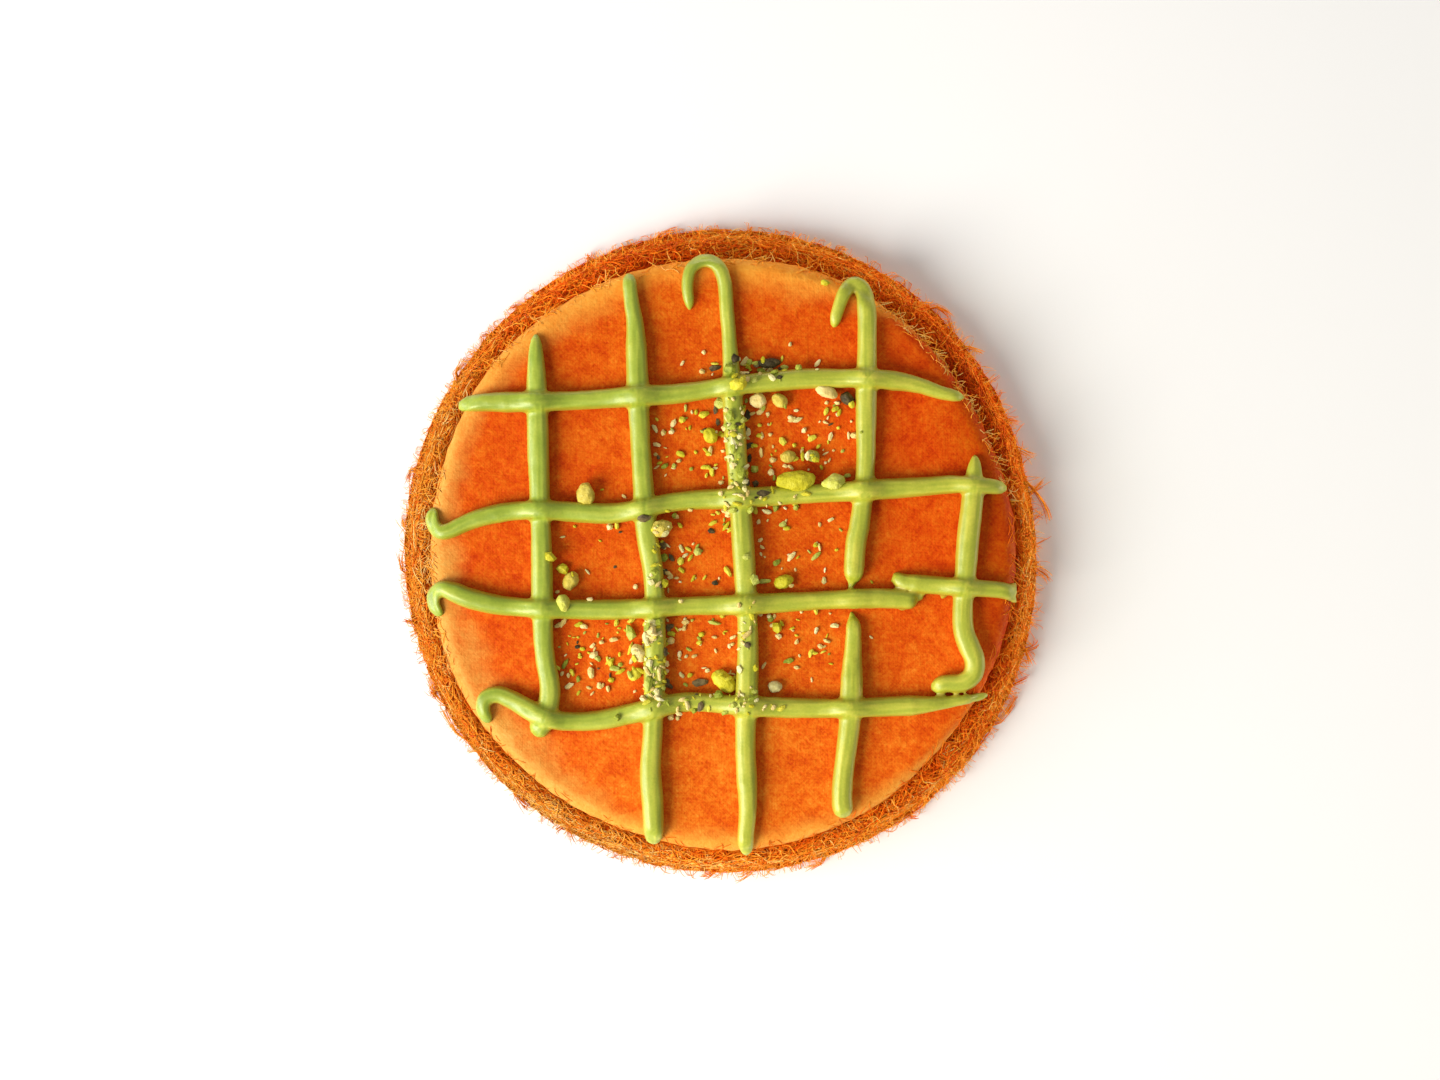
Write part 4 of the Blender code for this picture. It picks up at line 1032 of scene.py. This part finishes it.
def chip(mesh, rng):
    """Cuts flat chipped faces into the upper sides of a chunk."""
    points = mesh_points(mesh)
    middle = (points.max(axis=0) + points.min(axis=0)) / 2
    for i in range(NUT_CHIPS):
        turn = math.tau * (i + rng.uniform(-0.3, 0.3)) / NUT_CHIPS
        up = rng.uniform(0.15, 1.1)
        normal = np.array((math.cos(turn), math.sin(turn), up)) / math.sqrt(1 + up * up)
        heights = (points - middle) @ normal
        limit = heights.max() * rng.uniform(*NUT_CHIP)
        points -= np.maximum(heights - limit, 0)[:, None] * normal
    mesh.vertices.foreach_set("co", points.ravel())


def build_nut(number, kind, material):
    """A rough-skinned chunk made from the CAD solid's own form."""
    name = f"pistachio_{number:02d}"
    bm = bmesh.new()
    bm.from_mesh(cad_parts[name].data)
    bmesh.ops.remove_doubles(bm, verts=bm.verts, dist=WELD)
    piece = mesh_object(f"{kind}_nut_{number:02d}", *take_mesh(bm), material)
    remesh(piece, NUT_VOXEL * COARSER, 1)
    rng = random.Random(number)
    chip(piece.data, rng)
    for vert in piece.data.vertices:
        rough = sum(height * noise.noise(vert.co / (size * MM)) for height, size in NUT_BUMPS)
        vert.co += vert.normal * (rough + NUT_SWELL) * MM
    mark(piece, [rng.uniform(0.35, 0.65)] * len(piece.data.vertices))
    place(piece, "pistachio", name)
    return piece


def hull_chunk(length, width, height, rng):
    """An angular chip: points of a hull round a squashed ball, and its faces."""
    bm = bmesh.new()
    for i in range(CHUNK_POINTS):
        up = 1 - 2 * (i + 0.5) / CHUNK_POINTS
        turn = i * math.pi * (3 - math.sqrt(5))
        across = math.sqrt(1 - up * up)
        wobble = 0.5 * (1 + rng.uniform(*CHUNK_WOBBLE))
        bm.verts.new((across * math.cos(turn) * length * wobble,
                      across * math.sin(turn) * width * wobble, up * height * wobble))
    hull = bmesh.ops.convex_hull(bm, input=bm.verts)
    inner = [item for item in hull["geom_interior"] if isinstance(item, bmesh.types.BMVert)]
    bmesh.ops.delete(bm, geom=inner, context="VERTS")
    return take_mesh(bm)


def ground_tree(pieces):
    """What crumbs fall on."""
    points, faces = joined((mesh_points(piece.data), [face.vertices for face in piece.data.polygons])
                           for piece in pieces)
    return BVHTree.FromPolygons(points.tolist(), faces)


def settle(points, x, y, turn, height, tree, rng):
    """Turns a crumb's points and lays them at a spot, pressed in a little."""
    spot, normal, _, _ = tree.ray_cast(Vector((x, y, HIGH_UP)), Vector((0, 0, -1)))
    up = Vector((0, 0, 1))
    lean = up.rotation_difference(normal.lerp(up, CRUMB_UPRIGHT)).to_matrix()
    spin = Matrix.Rotation(turn, 3, "Z")
    tilt = Matrix.Rotation(rng.uniform(-CRUMB_TILT, CRUMB_TILT), 3, "X")
    turned = points @ np.array(lean @ spin @ tilt).T
    return turned + np.array(spot + normal * (CRUMB_LIFT * height))


def crumb_bodies(kind, tree, rng):
    """The larger chopped bits of one colour."""
    for x, y, length, width, turn in CHOPPED[kind]:
        flat = 0.45 if kind == "skin" else 0.75
        height = flat * min(length, width) * MM
        points, faces = hull_chunk(length * MM, width * MM, height, rng)
        yield settle(points, x * MM, y * MM, math.radians(turn), height, tree, rng), faces


def fine_spots():
    """Where fine crumbs of each colour lie."""
    rng = random.Random(41)
    spots = {kind: [] for kind in FINE_SHARES}
    for x, y, spread_x, spread_y, count in FINE_PATCHES:
        for _ in range(count):
            kind = rng.choices(list(FINE_SHARES), list(FINE_SHARES.values()))[0]
            spots[kind].append((x + spread_x * rng.uniform(-1, 1), y + spread_y * rng.uniform(-1, 1)))
    return spots


def fine_bodies(spots, tree, rng):
    """Grains too small to have facets of their own."""
    bm = bmesh.new()
    bmesh.ops.create_icosphere(bm, subdivisions=1, radius=0.5)
    ball, faces = take_mesh(bm)
    for x, y in spots:
        size = FINE_SIZE[0] + (FINE_SIZE[1] - FINE_SIZE[0]) * rng.random() ** 1.5
        shape = np.array([rng.uniform(1.0, 2.0), rng.uniform(0.6, 1.0), 0.55]) * size
        wobble = 1 + np.array([rng.uniform(-0.2, 0.2) for _ in ball])[:, None]
        yield settle(ball * wobble * shape, x * MM, y * MM, rng.uniform(0, math.tau),
                     0.7 * size, tree, rng), faces


def build_crumbs(kind, spots, tree, material, seed):
    rng = random.Random(seed)
    bodies = [*crumb_bodies(kind, tree, rng), *fine_bodies(spots, tree, rng)]
    piece = mesh_object(f"{kind}_crumbs", *joined(bodies), material, smooth=False)
    tones = [rng.uniform(0.2, 0.8) for _ in bodies]
    mark(piece, np.repeat(tones, [len(points) for points, _ in bodies]))
    place(piece, "pistachio", "pressed_top", *[f"cream_{name}" for name in STROKES])


# -------- floor, lights and camera

def build_floor():
    material, tree = new_material("floor", 0.9, 0.1)
    colour = colour_ramp(tree, noise_texture(tree, 0.6), [
        (0.3, (0.965, 0.965, 0.965)), (0.7, (0.97, 0.97, 0.97))])
    tree.links.new(colour, tree.nodes["Principled BSDF"].inputs["Base Color"])
    half = FLOOR_HALF
    floor = mesh_object("floor", [(-half, -half, 0), (half, -half, 0), (half, half, 0),
                                  (-half, half, 0)], [(0, 1, 2, 3)], material)


def build_lights():
    for name, (spot, (width, height), beam, power, colour) in LIGHTS.items():
        light = bpy.data.lights.new(name, "AREA")
        light.shape = "ELLIPSE"
        light.size = width
        light.size_y = height
        light.spread = math.radians(beam)
        light.energy = power
        light.color = colour
        lamp = bpy.data.objects.new(name, light)
        lamp.location = spot
        lamp.rotation_euler = Vector(spot).to_track_quat("Z", "Y").to_euler()
        lamp.visible_camera = False
        bpy.context.scene.collection.objects.link(lamp)
    world = bpy.data.worlds.new("studio")
    world.use_nodes = True
    background = world.node_tree.nodes["Background"]
    background.inputs["Color"].default_value = FILL_COLOUR
    background.inputs["Strength"].default_value = FILL_STRENGTH
    bpy.context.scene.world = world


def build_camera():
    """Straight above, with the image's top towards +Y."""
    data = bpy.data.cameras.new("camera")
    data.sensor_width = SENSOR
    data.lens = SENSOR * CAMERA_HEIGHT * PIXELS_PER_METRE / PHOTO_WIDTH
    camera = bpy.data.objects.new("camera", data)
    camera.location = (*CAMERA_SPOT, TOP_SURFACE + CAMERA_HEIGHT)
    bpy.context.scene.collection.objects.link(camera)
    bpy.context.scene.camera = camera


def main():
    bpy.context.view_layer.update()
    pastry = build_pastry(pressed_material())
    build_bed(bed_material())
    build_strands(strand_material())
    cream = build_cream(cream_material())
    materials = {kind: nut_material(kind) for kind in NUT_COLOURS}
    nuts = [build_nut(number, kind, materials[kind])
            for kind, numbers in NUT_KINDS.items() for number in numbers]
    tree = ground_tree([pastry, cream, *nuts])
    spots = fine_spots()
    for seed, kind in enumerate(CHOPPED):
        build_crumbs(kind, spots[kind], tree, materials[kind], seed)
    build_floor()
    build_lights()
    build_camera()
    bpy.context.scene.view_settings.view_transform = "Standard"


main()
